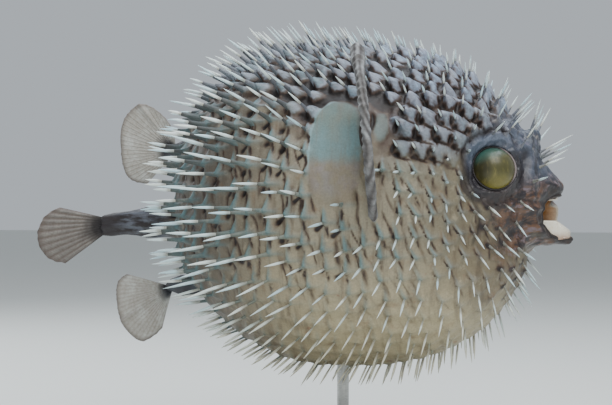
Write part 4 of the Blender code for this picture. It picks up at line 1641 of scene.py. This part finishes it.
    def seat_eye(self, points: Array, side: Side) -> Array:
        """Bends the skin round one eye into a socket and a fold like a lid.

        Args:
            points: the skin, (rows, columns, 3).
            side: which eye.

        Returns:
            The skin, with the fold. Fills in the masks as well.
        """
        middle, axis = self.eye.middle(side), self.eye.axis(side)
        offset = points - middle
        height = offset @ axis
        flat = offset - height[..., None] * axis
        out = np.linalg.norm(flat, axis=2)
        near = (out < 0.0210) & (height > -0.010)
        up = unit(np.array([-0.45, 0.0, 1.0]))
        above = flat @ up / np.maximum(1e-9, out)
        around = np.arctan2(flat @ np.cross(axis, up), flat @ up)
        far = out * (1 + 0.07 * np.sin(2 * around + 0.6) + 0.05 * np.sin(5 * around + 2))
        far = far + 0.0006 * ripple(points, 0.007, 61)

        # the lid's fold, with a groove and wrinkles round it
        brow = smooth(-0.2, 0.8, above)
        crest, width = 0.0124 + 0.0014 * brow, 0.0014 + 0.0012 * brow
        fold = (0.0006 + 0.0026 * brow) * bell((far - crest) / width)
        groove = -0.0012 * bell((far - 0.0178) / 0.0010) * smooth(0.1, 0.7, above)
        groove += -0.0006 * bell((far - 0.0150) / 0.0009) * smooth(0.3, -0.4, above)
        wrinkle = 0.00030 * np.sin(far * TURN / 0.0024 + 1.2 * np.sin(5 * around))
        wrinkle = wrinkle + 0.00022 * np.sin(23 * around + 900 * out)
        fold = fold + wrinkle * smooth(0.0104, 0.0120, out) * smooth(0.0185, 0.0150, out)

        # down to the eye's seat, and in behind the eyeball
        blend = smooth(0.0165 + 0.0035 * np.clip(above, 0, 1), 0.0108, out)
        rim = height + (self.eye.seat() - height) * blend + fold + groove
        hidden = np.sqrt(np.maximum(0.0, (self.eye.radius - 0.0009) ** 2 - out**2)) - 0.0008
        socket = smooth(self.eye.opening + 0.0009, self.eye.opening - 0.0001, out)
        moved = points + axis * (rim + (hidden - rim) * socket - height)[..., None]

        # painted shade in the groove above the lid, at the eye's opening and in an arc below and behind the eye
        ring = bell((far - 0.0180) / 0.0013) * smooth(0.1, 0.7, above) + smooth(0.0114, 0.0102, out)
        below_left = -(flat @ unit(np.array([0.55, 0.0, 0.84]))) / np.maximum(1e-9, out)
        reach = 0.0180 + 0.0024 * smooth(0.2, 0.8, below_left)
        ring = ring + smooth(reach, reach - 0.0034, far) * smooth(0.70, 0.05, above)
        pale = smooth(0.30, 0.90, above) * bell((out - crest) / 0.0028)
        lid = smooth(0.0175, 0.0140, out)
        for key, here in (("lid", lid), ("furrow", np.clip(ring, 0, 1)), ("brow", pale)):
            self.masks[key] = np.maximum(self.masks[key], np.where(near, here, 0))
        return np.where(near[..., None], moved, points)

    def marks(self, outer: Array) -> tuple[Array, Array, Array, Array]:
        """Finds the bare patch, the flap at the gill, the gill slit and the dark skin of face and eyes.

        Args:
            outer: the smooth skin, (rows, columns, 3).

        Returns:
            How far each point is in each of the four.
        """
        mirrored = outer.copy()
        mirrored[..., 1] = np.abs(mirrored[..., 1])
        patch = reach_in(mirrored, (0.0100, 0.074, 0.0245), (0.0116, 0.03, 0.0248), 2.7)
        below_flap = reach_in(mirrored, (0.0300, 0.066, 0.0365), (0.0034, 0.03, 0.0068))
        bare = np.maximum(smooth(1.25, 0.80, patch), 0.6 * smooth(1.3, 0.6, below_flap))
        flap = smooth(1.3, 0.7, reach_in(mirrored, (0.0372, 0.066, 0.0405), (0.0037, 0.03, 0.0080)))

        off = (mirrored[..., 2] - self.gill[2]) / self.gill_half_length
        width = 0.0004 + 0.0007 * smooth(1, 0, np.abs(off))
        slit = bell((mirrored[..., 0] - self.gill[0] + 0.0016 * off**2) / width)
        slit *= smooth(1.0, 0.5, np.abs(off)) * (mirrored[..., 1] > 0.05)

        face = smooth(0.070, 0.086, outer[..., 0] + 0.004 * ripple(outer, 0.016, 41))
        face *= smooth(0.050, 0.040, np.abs(outer[..., 2]))
        low = smooth(-0.027, -0.012, outer[..., 2] + 0.004 * ripple(outer, 0.010, 43))
        face *= 0.30 + 0.70 * np.maximum(low, smooth(0.094, 0.103, outer[..., 0]))
        eye_distance = np.linalg.norm(mirrored - self.eye.middle(Side.LEFT), axis=2)
        face = np.maximum(face, smooth(0.0200, 0.0140, eye_distance))
        face = np.clip(face + 0.25 * ripple(outer, 0.012, 3) * face * (1 - face) * 4, 0, 1)
        return bare, flap, slit, face

    def build(self) -> bpy.types.Object:
        """Makes the skin, in place of the solids of flesh.

        Returns:
            The skin.
        """
        outer = self.profile()
        normals = self.normals(outer)
        bare, flap, slit, face = self.marks(outer)
        calm = 1 - bare
        move = self.raise_roots(outer, normals)
        raised, self.masks["furrow"] = Face().shaped(outer)
        points = outer + move * calm[..., None] + normals * raised[..., None]
        wrinkle = ripple(outer, 0.006, 5) * self.fine_wrinkle + ripple(outer, 0.015, 7) * self.broad_wrinkle
        points += normals * (wrinkle * (0.5 + 0.9 * face) + self.flap_height * flap)[..., None]
        points -= normals * (slit * self.gill_depth)[..., None]
        from_stalk = np.hypot(outer[..., 1], outer[..., 2] + 0.008)
        stalk = smooth(-0.084, -0.094, outer[..., 0]) * smooth(0.020, 0.014, from_stalk)
        lines = ripple(outer * np.array([0.25, 1, 1]), 0.0035, 33)
        points += normals * (stalk * (self.stalk_wrinkle * lines))[..., None]
        self.masks["lid"], self.masks["brow"] = np.zeros(bare.shape), np.zeros(bare.shape)
        for side in Side:
            points = self.seat_eye(points, side)

        lid = self.masks.pop("lid")
        lip = smooth(0.006, 0.0015, np.linalg.norm(outer - outer[:1], axis=2)) * (outer[..., 0] > 0.09)
        # painted shade in the gill slit as well
        self.masks["shadow"] = np.maximum(self.masks["shadow"] * calm * (1 - lid), slit)
        ridge = self.masks["ridge"] * (calm * (1 - face * 0.6) * (1 - lid))
        self.masks["ridge"] = np.maximum(ridge, 0.75 * flap)
        self.masks |= {"bare": bare, "face": np.maximum(face, lid), "lip": lip * 0.85, "stalk": stalk}
        inner = self.mouth(points[0].copy())
        masks = {key: np.concatenate((np.zeros(inner.shape[:2]), mask)) for key, mask in self.masks.items()}
        masks["lip"][: len(inner)] = 1.0
        deep = smooth(6, 15, np.arange(len(inner))[::-1])
        masks["mouth"] = np.zeros(masks["lip"].shape)
        masks["mouth"][: len(inner)] = deep[:, None]
        whole = np.concatenate((inner, points)) + np.array(self.centre)
        mesh = simplified(grid_mesh("skin", whole, masks, self.merge), self.triangles)
        material = SkinFinish(self.centre).make("dried_skin")
        return add_piece("skin", mesh, material, ("trunk", "head", "lower_jaw", "tail_peduncle"))


# ---- spines


@dataclass
class Spines:
    """The coat: an ivory blade for each spine, and the sleeve of skin that it grows out of."""

    coat: Coat
    centre: Vector
    patch: float = 0.003
    sides: int = 6
    # share of the sleeve's or the blade's own length, and half thickness in millimetres
    sleeve_rings: tuple = ((-0.10, 2.5), (0.10, 1.90), (0.30, 1.42), (0.65, 1.06), (0.97, 0.86), (1.00, 0.68))
    blade_rings: tuple = (
        (-0.15, 0.70), (0.06, 0.80), (0.30, 0.86), (0.55, 0.74), (0.80, 0.42), (0.95, 0.16), (1.0, 0.02),
    )
    flatness: float = 0.8
    bend: float = 0.05
    root_depth: float = 0.0010
    spines: dict[str, Array] = field(default_factory=dict)

    def pattern(self, rings: tuple) -> tuple[Array, list]:
        """One tube of rings, closed at both ends.

        Args:
            rings: share along and half thickness of each ring.

        Returns:
            Its vertices as (share along, angle round, half thickness), and its faces.
        """
        bm = bmesh.new()
        bmesh.ops.create_grid(bm, x_segments=self.sides, y_segments=len(rings) - 1, size=0.5)
        for vert in bm.verts:
            ring = round((vert.co.y + 0.5) * (len(rings) - 1))
            turn = (vert.co.x + 0.5) * TURN
            vert.co = (math.cos(turn), math.sin(turn), ring)
        bmesh.ops.remove_doubles(bm, verts=bm.verts, dist=1e-4)
        ends = [e for e in bm.edges if e.is_boundary]
        bmesh.ops.holes_fill(bm, edges=ends, sides=self.sides)
        bmesh.ops.recalc_face_normals(bm, faces=bm.faces)
        bm.verts.index_update()
        table = np.array(rings)
        places = np.array([tuple(v.co) for v in bm.verts])
        ring = np.rint(places[:, 2]).astype(int)
        turn = np.arctan2(places[:, 1], places[:, 0])
        faces = [[v.index for v in f.verts] for f in bm.faces]
        bm.free()
        return np.stack((table[ring, 0], turn, table[ring, 1]), -1), faces

    def build_part(
        self, name: str, rings: tuple, start: Array, end: Array, thick: Array,
        finish: SkinFinish | SpineFinish, slot: Slot,
    ) -> bpy.types.Object:
        """Makes the sleeves or the blades of all the spines as one mesh.

        Args:
            name: the piece's name.
            rings: the tube's rings.
            start: how far along its spine each tube starts.
            end: how far along it ends.
            thick: how thick each is, as a share.
            finish: its finish.
            slot: the record's slot.

        Returns:
            The piece.
        """
        spines = self.spines
        pattern, faces = self.pattern(rings)
        along = start[:, None] + (end - start)[:, None] * pattern[None, :, 0]
        bend = spines["normal"] * (self.bend * uneven(spines["index"], 21))[:, None]
        bend += spines["above"] * (self.bend * uneven(spines["index"], 22))[:, None]
        length = spines["length"][:, None]
        centre_line = spines["root"][:, None] + spines["axis"][:, None] * (along * length)[..., None]
        centre_line = centre_line + bend[:, None] * (along**2 * length - along * length)[..., None]
        wide = unit(np.cross(spines["axis"], spines["ahead"]))
        flat = np.cross(wide, spines["axis"])
        size = pattern[None, :, 2] * thick[:, None] * MM
        turn = pattern[None, :, 1]
        points = centre_line + wide[:, None] * (size * np.sin(turn))[..., None]
        points = points + flat[:, None] * (size * self.flatness * np.cos(turn))[..., None]
        count, per = len(points), len(pattern)
        mesh = bpy.data.meshes.new(name)
        every = [[v + per * k for v in face] for k in range(count) for face in faces]
        mesh.from_pydata((points + np.array(self.centre)).reshape(-1, 3), [], every)
        share = np.clip((along - start[:, None]) / (end - start)[:, None], 0, 1)
        tint = np.broadcast_to((0.5 + 0.5 * uneven(spines["index"], 31))[:, None], (count, per))
        masks = {"along": share, "tint": tint}
        if slot is Slot.SKIN:
            # on the back, the ridge share gives the sleeves the plates' painted sky sheen; the shadow share is
            # painted shade at the sleeve's top
            masks["ridge"] = 0.55 + 0.3 * tint * (1 - share)
            masks["shadow"] = 0.25 * smooth(0.75, 1.0, share)
            dark = smooth(0.0, 0.40, spines["d"][:, 2]) * (0.62 + 0.25 * uneven(spines["index"], 33))
            masks["furrow"] = dark[:, None] * smooth(-0.1, 0.5, share)
        for key, numbers in masks.items():
            layer = mesh.attributes.new(key, "FLOAT", "POINT")
            layer.data.foreach_set("value", np.ascontiguousarray(numbers, dtype=np.float32).ravel())
        place = np.stack((spines["around"] % TURN / TURN, spines["from_snout"] / math.pi), -1)
        place = np.clip(place, self.patch, 1 - self.patch)[:, None]
        inside = np.stack((np.cos(turn) * (0.3 + 0.2 * pattern[None, :, 0]), pattern[None, :, 0] - 0.5), -1)
        spots = (place + inside * self.patch).reshape(-1, 2)
        layer = mesh.uv_layers.new(name="OFBake")
        corners = np.empty(len(mesh.loops), np.int32)
        mesh.loops.foreach_get("vertex_index", corners)
        layer.data.foreach_set("uv", spots[corners].astype(np.float32).ravel())
        return add_piece(name, mesh, finish.make(name))

    def build(self) -> None:
        """Makes sleeves and blades."""
        self.spines = self.coat.grown()
        index, d = self.spines["index"], self.spines["d"]
        length = self.spines["length"]
        back = smooth(0.2, 0.6, d[:, 2])
        belly = smooth(-0.1, -0.6, d[:, 2])
        rear = smooth(0.1, -0.5, d[:, 0])
        cover = 0.29 + 0.09 * rear + 0.10 * back + 0.13 * uneven(index, 41) - 0.08 * belly
        thick = 0.78 + 0.20 * rear + 0.10 * uneven(index, 42) - 0.12 * smooth(0.5, 0.9, d[:, 0])
        sleeve_thick = thick * (1 - 0.42 * belly) * (1 + 0.35 * back * rear)
        sunk = -self.root_depth / length
        skin, ivory = SkinFinish(self.centre), SpineFinish(self.centre)
        self.build_part("spine_sleeves", self.sleeve_rings, sunk, cover, sleeve_thick, skin, Slot.SKIN)
        self.build_part("spine_blades", self.blade_rings, cover, np.ones(len(cover)), thick, ivory, Slot.BEAK)
        log.info("%d spines", len(index))


# ---- eyes and beak


@dataclass
class Eyes:
    """Both eyeballs, each with a dark rim where the skin meets it."""

    place: EyePlace
    centre: Vector
    rim_thickness: float = 0.0005
    rim_gap: float = 0.0003
    rim_wave: float = 0.0003

    def build(self) -> None:
        """Makes both eyes."""
        for side in Side:
            middle = Vector(self.place.middle(side)) + self.centre
            axis = Vector(self.place.axis(side))
            name = side.name.lower()
            bm = bmesh.new()
            facing = Matrix.Translation(middle) @ axis.to_track_quat("Z", "X").to_matrix().to_4x4()
            bmesh.ops.create_uvsphere(bm, u_segments=64, v_segments=40, radius=self.place.radius, matrix=facing)
            mesh = as_mesh(f"eyeball_{name}", bm)
            finish = EyeFinish(middle, self.place.radius).make(f"glassy_eye_{name}")
            add_piece(f"eyeball_{name}", mesh, finish, (f"eye_{name}",))
            self.build_rim(name, facing, middle)

    def build_rim(self, name: str, facing: Matrix, middle: Vector) -> None:
        """Makes the ring round one eye.

        Args:
            name: which eye.
            facing: the eye's place, with the way it looks out along its Z.
            middle: the eye's centre.
        """
        bm = bmesh.new()
        start = Matrix.Translation((self.place.opening + self.rim_gap, 0, self.place.seat() + 0.0001))
        start = start @ Matrix.Rotation(math.pi / 2, 4, "X")
        bmesh.ops.create_circle(bm, segments=12, radius=self.rim_thickness, matrix=start)
        ring = bm.verts[:] + bm.edges[:]
        bmesh.ops.spin(bm, geom=ring, cent=(0, 0, 0), axis=(0, 0, 1), angle=TURN, steps=72, use_merge=True)
        for vert in bm.verts:
            vert.co.z += self.rim_wave * math.sin(3 * math.atan2(vert.co.y, vert.co.x))
        bmesh.ops.transform(bm, matrix=facing, verts=bm.verts)
        bmesh.ops.remove_doubles(bm, verts=bm.verts, dist=1e-6)
        bmesh.ops.recalc_face_normals(bm, faces=bm.faces)
        name = f"eye_rim_{name}"
        add_piece(name, as_mesh(name, bm), LidFinish(middle).make(name))


@dataclass
class Beak:
    """Both plates of the beak, bent round the front of the mouth."""

    centre: Vector
    half_width: float = 0.0112
    length: float = 0.0219
    thickness: float = 0.0026
    edge_round: float = 0.0007
    # x, z along each plate's lower and upper edge
    lower_low: tuple = ((0.09, -0.0172), (0.1045, -0.0162), (0.1140, -0.0150))
    lower_high: tuple = ((0.095, -0.0062), (0.1055, -0.0066), (0.1130, -0.0118))
    upper_low: tuple = ((0.09, 0.0028), (0.11, 0.0034))
    upper_high: tuple = ((0.09, 0.0085), (0.11, 0.0085))
    upper_gum: tuple[float, float] = (0.0045, 0.0075)

    def plate(
        self, name: str, centre_x: float, sweep: float, low: tuple, high: tuple, finish: BeakFinish,
        back: float = 0.0,
    ) -> None:
        """Makes one plate.

        Args:
            name: the piece's name, also its node's.
            centre_x: the bend's centre along X.
            sweep: how far round the bend it goes to each side, in degrees.
            low: knots (x, z) of its lower edge.
            high: knots (x, z) of its upper edge.
            finish: its finish.
            back: how far back it is set, for the lip in front of it.
        """
        bm = bmesh.new()
        bmesh.ops.create_grid(bm, x_segments=48, y_segments=10, size=0.5)
        for vert in bm.verts:
            turn = math.radians(sweep) * 2 * vert.co.x
            x = centre_x - back + (self.length - self.thickness / 2) * math.cos(turn)
            y = (self.half_width - self.thickness / 2) * math.sin(turn)
            share = vert.co.y + 0.5
            bottom = np.interp(x, [k[0] for k in low], [k[1] for k in low])
            top = np.interp(x, [k[0] for k in high], [k[1] for k in high])
            vert.co = (x, y, bottom + (top - bottom) * share)
        bmesh.ops.recalc_face_normals(bm, faces=bm.faces)
        bmesh.ops.solidify(bm, geom=bm.faces[:], thickness=self.thickness * 0.85)
        bmesh.ops.recalc_face_normals(bm, faces=bm.faces)
        sharp = [e for e in bm.edges if len(e.link_faces) == 2 and e.calc_face_angle(0) > 1.0]
        bmesh.ops.bevel(
            bm, geom=sharp, offset=self.edge_round, segments=3, profile=0.5, affect="EDGES", material=-1
        )
        bmesh.ops.translate(bm, verts=bm.verts, vec=self.centre)
        add_piece(f"{name}_plate", as_mesh(name, bm), finish.make(name), (name,))

    def build(self) -> None:
        """Makes the lower plate, which shows, and the upper one behind its lip."""
        plain, upper = BeakFinish(self.centre), BeakFinish(self.centre, gum_height=self.upper_gum)
        self.plate("beak_lower", 0.0915, 70, self.lower_low, self.lower_high, plain)
        self.plate("beak_upper", 0.0860, 62, self.upper_low, self.upper_high, upper, back=0.0006)


# ---- fins


@dataclass
class Fin:
    """A fan of rays from a root, joined by a thin web: a closed form, thin at its sides."""

    name: str
    centre: Vector
    root: Triple
    # degrees up from +X, and how far the web reaches there
    fan: tuple
    rays: int
    finish: FinFinish
    facing: Matrix = field(default_factory=lambda: Matrix.Identity(3))
    thickness: float = 0.0008
    pleat: float = 0.00035
    sway: float = 0.0012
    ragged: float = 0.0005
    per_ray: int = 10
    rings: int = 36
    start: float = 0.06
    crease: float | None = None
    crease_depth: float = 0.0011
    margin: float = 0.0
    bow: float = 0.0
    merge: float = 2e-6
    foot: Triple | None = None
    foot_size: Triple = (0.0125, 0.0034, 0.0048)

    def outline(self, ray: Array) -> tuple[Array, Array]:
        """Works out the fan's outer edge.

        Args:
            ray: the number of the ray that each column is on, with fractions between rays.

        Returns:
            Each column's degrees, and its length.
        """
        table = np.array(self.fan, float)
        degrees = np.linspace(table[0, 0], table[-1, 0], len(ray))
        length = np.interp(degrees, table[:, 0], table[:, 1])
        reach = self.per_ray * 2
        kernel = np.hanning(2 * reach + 3)[1:-1]
        padded = 2 * np.pad(length, reach, mode="edge") - np.pad(length, reach, mode="reflect")
        length = np.convolve(padded, kernel / kernel.sum(), "valid")
        beat = np.cos(ray * TURN)
        torn = 0.8 * uneven(np.round(ray), 51) * (0.5 + 0.5 * beat)
        return degrees, length + self.ragged * (0.35 * beat + torn)

    def build(self) -> None:
        """Makes the web with its rays and, where it has one, its fleshy foot."""
        ray = np.arange(self.rays * self.per_ray + 1) / self.per_ray
        degrees, length = self.outline(ray)
        angle, across, beat = np.radians(degrees)[None], ray[None] / self.rays, np.cos(ray * TURN)[None]
        inward = (1 - np.linspace(0, 1, self.rings)) ** (1.8 if self.margin else 1.0)
        share = 1 - (1 - self.start) * inward
        out = np.concatenate((share, share[::-1]))[:, None]
        face = np.repeat([1.0, -1.0], self.rings)[:, None]
        rounded = np.sqrt(np.clip((1.0005 - out) / 0.06, 0, 1))
        sway = self.sway * np.sin(out * 2.6 + across * 4.2) * out
        lift = self.pleat * beat * np.minimum(1, out * 1.6)
        lift = lift + (sway + self.bow * np.sin(math.pi * across) * out**2)

        # strands that the folded margin is twisted into
        twisted, turned = smooth(0.62, 0.38, across), face * rounded
        strand = twisted * (across * TURN * 9 + 3.0 * turned) + (1 - twisted) * (across * 9 + 6.5 * turned)
        strand = 0.5 + 0.5 * np.sin(strand + 1.1 * np.sin(across * 23))
        rays = (0.5 + 0.5 * beat) ** 2
        rays = rays + (1 - strand - rays) * smooth(0.6, 0.85, out) * (self.margin > 0)
        if self.crease is not None:
            from_crease = degrees[None] - self.crease
            lift = lift - self.crease_depth * bell(from_crease / 2.6) * out
            rays = np.maximum(rays, 2.0 * bell(from_crease / 1.6) * smooth(0.5, 0.75, out))

        half = self.thickness / 2 * (1 + 0.5 * beat)
        broad = 0.88 + 0.55 * smooth(0.68, 0.84, across) * smooth(1.02, 0.90, across)
        broad = (broad + 0.12 * smooth(0.5, 0.2, across)) * (1 - 0.24 * smooth(0.35, 0.05, across))
        half = half + self.margin * smooth(0.66, 0.90, out) * (broad + 0.16 * strand)
        half = half * rounded * smooth(-0.012, 0.012, across) * smooth(1.02, 0.97, across)
        half = half * (out > self.start + 1e-9)
        local = np.stack((np.cos(angle) * length * out, lift + face * half, np.sin(angle) * length * out), -1)
        points = local @ np.array(self.facing.transposed()) + np.array(self.root) + np.array(self.centre)
        fine = (0.5 + 0.5 * np.cos(ray * TURN * 4))[None] * smooth(0.2, 0.5, out)
        masks = {"out": out, "ray": np.clip(rays, 0, 1), "fine": fine * (0.15 if self.margin else 1.0)}
        masks = {key: np.broadcast_to(numbers, points.shape[:2]) for key, numbers in masks.items()}
        mesh = grid_mesh(self.name, points, masks, self.merge)
        bm = bmesh.new()
        bm.from_mesh(mesh)
        if self.foot:
            self.add_foot(bm)
        bmesh.ops.recalc_face_normals(bm, faces=bm.faces)
        bm.to_mesh(mesh)
        bm.free()
        add_piece(f"{self.name}_web", mesh, self.finish.make(self.name), (self.name,))

    def add_foot(self, bm: bmesh.types.BMesh) -> None:
        """Adds the fleshy lobe that carries the fin.

        Args:
            bm: the fin's mesh.
        """
        place = Matrix.Translation(Vector(self.foot) + self.centre) @ Matrix.Diagonal((*self.foot_size, 1))
        made = bmesh.ops.create_uvsphere(bm, u_segments=40, v_segments=24, radius=1, matrix=place)["verts"]
        for vert in made:
            out = (vert.co - Vector(self.foot) - self.centre).normalized()
            vert.co += out * 0.0005 * float(ripple(np.array(vert.co)[None], 0.006, 9)[0])


@dataclass
class Fins:
    """All the fins."""

    centre: Vector
    dorsal: tuple = (
        (98, 0.0110), (111, 0.0205), (126, 0.0320), (148, 0.0326), (178, 0.0290), (207, 0.0290), (226, 0.0225),
    )
    dorsal_root: Triple = (-0.0870, 0, 0.0280)
    dorsal_foot: Triple = (-0.0805, 0, 0.0275)
    anal: tuple = ((166, 0.0260), (174, 0.0300), (195, 0.0310), (220, 0.0335), (240, 0.0335), (254, 0.0220))
    anal_root: Triple = (-0.0885, 0, -0.0410)
    anal_foot: Triple = (-0.0795, 0, -0.0400)
    caudal: tuple = (
        (168, 0.0350), (174, 0.0412), (186, 0.0460), (194, 0.0468), (202, 0.0460), (209, 0.0430), (215, 0.0375),
    )
    caudal_root: Triple = (-0.1162, 0, -0.0076)
    pectoral: tuple = (
        (-78, 0.0405), (-70, 0.0434), (-50, 0.0420), (-35, 0.0410), (0, 0.0400), (40, 0.0410), (74, 0.0420),
        (84, 0.0350),
    )
    pectoral_root: Triple = (0.0235, 0.0680, 0.0340)
    pectoral_turn: float = math.radians(7)
    pectoral_lean: float = math.radians(6)

    def finish(self, root: Triple, **given: object) -> FinFinish:
        """The finish of the fin that grows at root."""
        return FinFinish(Vector(root) + self.centre, **given)

    def build(self) -> None:
        """Makes each fin."""
        Fin(
            "dorsal_fin", self.centre, self.dorsal_root, self.dorsal, 26,
            self.finish(self.dorsal_root, dark_share=0.42), pleat=0.00016, per_ray=6, ragged=0.0003, crease=128,
            foot=self.dorsal_foot, foot_size=(0.0135, 0.0040, 0.0062),
        ).build()
        Fin(
            "anal_fin", self.centre, self.anal_root, self.anal, 20,
            self.finish(self.anal_root, dark_share=0.34), pleat=0.00022, per_ray=7, ragged=0.0003, crease=214,
            foot=self.anal_foot, foot_size=(0.0130, 0.0038, 0.0052),
        ).build()
        stained = self.finish(
            self.caudal_root, web=srgb(126, 123, 119), pale=srgb(146, 143, 137), ray=srgb(76, 60, 52),
            dark=srgb(22, 17, 17), blue=srgb(44, 42, 48), dark_share=0.60, ray_share=0.55,
        )
        Fin(
            "caudal_fin", self.centre, self.caudal_root, self.caudal, 10, stained, pleat=0.00055, per_ray=16,
            thickness=0.0011, start=0.20, ragged=0.0007,
        ).build()
        for side in Side:
            self.build_pectoral(side)

    def build_pectoral(self, side: Side) -> None:
        """Makes one pectoral fin, which stands out from the flank and is folded along its edge.

        Args:
            side: which fin.
        """
        sign, turn, lean = side.value, self.pectoral_turn, self.pectoral_lean
        outward = Vector((math.sin(turn), sign * math.cos(turn), 0))
        up = Vector((-math.sin(lean), 0, math.cos(lean)))
        up = (up - outward * up.dot(outward)).normalized()
        facing = Matrix((outward, outward.cross(up), up)).transposed()
        root = (self.pectoral_root[0], sign * self.pectoral_root[1], self.pectoral_root[2])
        folded = self.finish(
            root, web=srgb(120, 120, 120), pale=srgb(188, 194, 200), ray=srgb(44, 38, 38),
            blue=srgb(74, 66, 62), dark_share=0.05, ray_share=0.80, edge_share=0.10,
        )
        Fin(
            f"pectoral_fin_{side.name.lower()}", self.centre, root, self.pectoral, 30, folded, facing,
            pleat=0.00008, sway=0.0007, ragged=0.0007, per_ray=8, margin=0.0017, bow=0.0010 * sign,
            foot=(root[0] - 0.0012, root[1], root[2]), foot_size=(0.0018, 0.0058, 0.0090),
        ).build()


# ---- stand and studio


class Stand:
    """The plain display stand: its solids stay and get their finishes."""

    def build(self) -> None:
        """Dresses base and rod."""
        for node, finish in (("stand_base", StainedWood()), ("stand_rod", BrushedSteel())):
            bpy.data.objects[node].material_slots[0].material = finish.make(f"{node}_finish")
            log.info("%s: finished", node)


@dataclass
class Studio:
    """Pale floor, soft light and the camera."""

    centre: Vector
    distance: float = 0.75
    azimuth: float = 12.0
    view_width: float = 0.306
    aim_tailward: float = 0.0185
    aim_up: float = 0.00225
    floor_colour: Colour = srgb(214, 216, 212)

    def camera(self) -> None:
        """Sets the camera level with the fish, a little ahead of its right flank."""
        turn = math.radians(self.azimuth)
        right = Vector((math.cos(turn), math.sin(turn), 0))
        back = Vector((math.sin(turn), -math.cos(turn), 0))
        aim = self.centre - right * self.aim_tailward + Vector((0, 0, self.aim_up))
        data = bpy.data.cameras.new("camera")
        data.sensor_width = 36
        data.lens = data.sensor_width * self.distance / self.view_width
        data.clip_start = 0.01
        camera = linked("camera", data)
        camera.location = aim + back * self.distance
        camera.rotation_euler = (math.radians(90), 0, turn)
        bpy.context.scene.camera = camera

    def floor(self) -> None:
        """Lays a pale floor under the stand."""
        bm = bmesh.new()
        bmesh.ops.create_grid(bm, x_segments=1, y_segments=1, size=6)
        mesh = as_mesh("floor", bm)
        mesh.materials.append(Graph("pale_floor").finish(self.floor_colour, 0.7))
        floor = linked("floor", mesh)

    def lights(self) -> None:
        """Hangs the soft lights."""
        world = bpy.data.worlds.new("studio")
        world.use_nodes = True
        world.node_tree.nodes["Background"].inputs["Color"].default_value = (0.86, 0.93, 1, 1)
        world.node_tree.nodes["Background"].inputs["Strength"].default_value = 0.55
        bpy.context.scene.world = world
        lamps = (
            # name, place, watts, size, colour
            ("key", (0.30, -0.55, 1.00), 10, 0.80, (1.0, 0.98, 0.95)),
            ("sky", (0.05, 0.20, 1.05), 9, 0.80, (0.84, 0.92, 1.0)),
            ("rim", (-0.8, 0.5, 0.6), 5, 0.5, (0.92, 0.96, 1.0)),
            ("sand", (0.10, -0.70, -0.02), 3.2, 0.70, (1.0, 0.97, 0.90)),
        )
        for name, place, watts, size, colour in lamps:
            data = bpy.data.lights.new(name, "AREA")
            data.energy = watts
            data.size = size
            data.color = colour
            lamp = linked(name, data)
            lamp.visible_glossy = name != "sand"
            lamp.location = place
            lamp.rotation_euler = (self.centre - Vector(place)).to_track_quat("-Z", "Y").to_euler()


def main() -> None:
    """Builds the fish, its stand and the studio."""
    logging.basicConfig(level=logging.INFO, format="%(message)s")
    eye_low, eye_high = (Vector(corner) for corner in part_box("eye_left"))
    eye_middle = (eye_low + eye_high) / 2
    body = Body()
    centre = Vector((0, 0, eye_middle.z - body.eye_height))
    eye = EyePlace(eye_middle - centre, (eye_high.z - eye_low.z) / 2)
    coat = Coat(body, eye.centre)
    studio = Studio(centre)
    studio.floor()
    studio.lights()
    studio.camera()
    Skin(body, coat, eye, centre).build()
    Spines(coat, centre).build()
    Eyes(eye, centre).build()
    Beak(centre).build()
    Fins(centre).build()
    Stand().build()


if __name__ == "__main__":
    main()
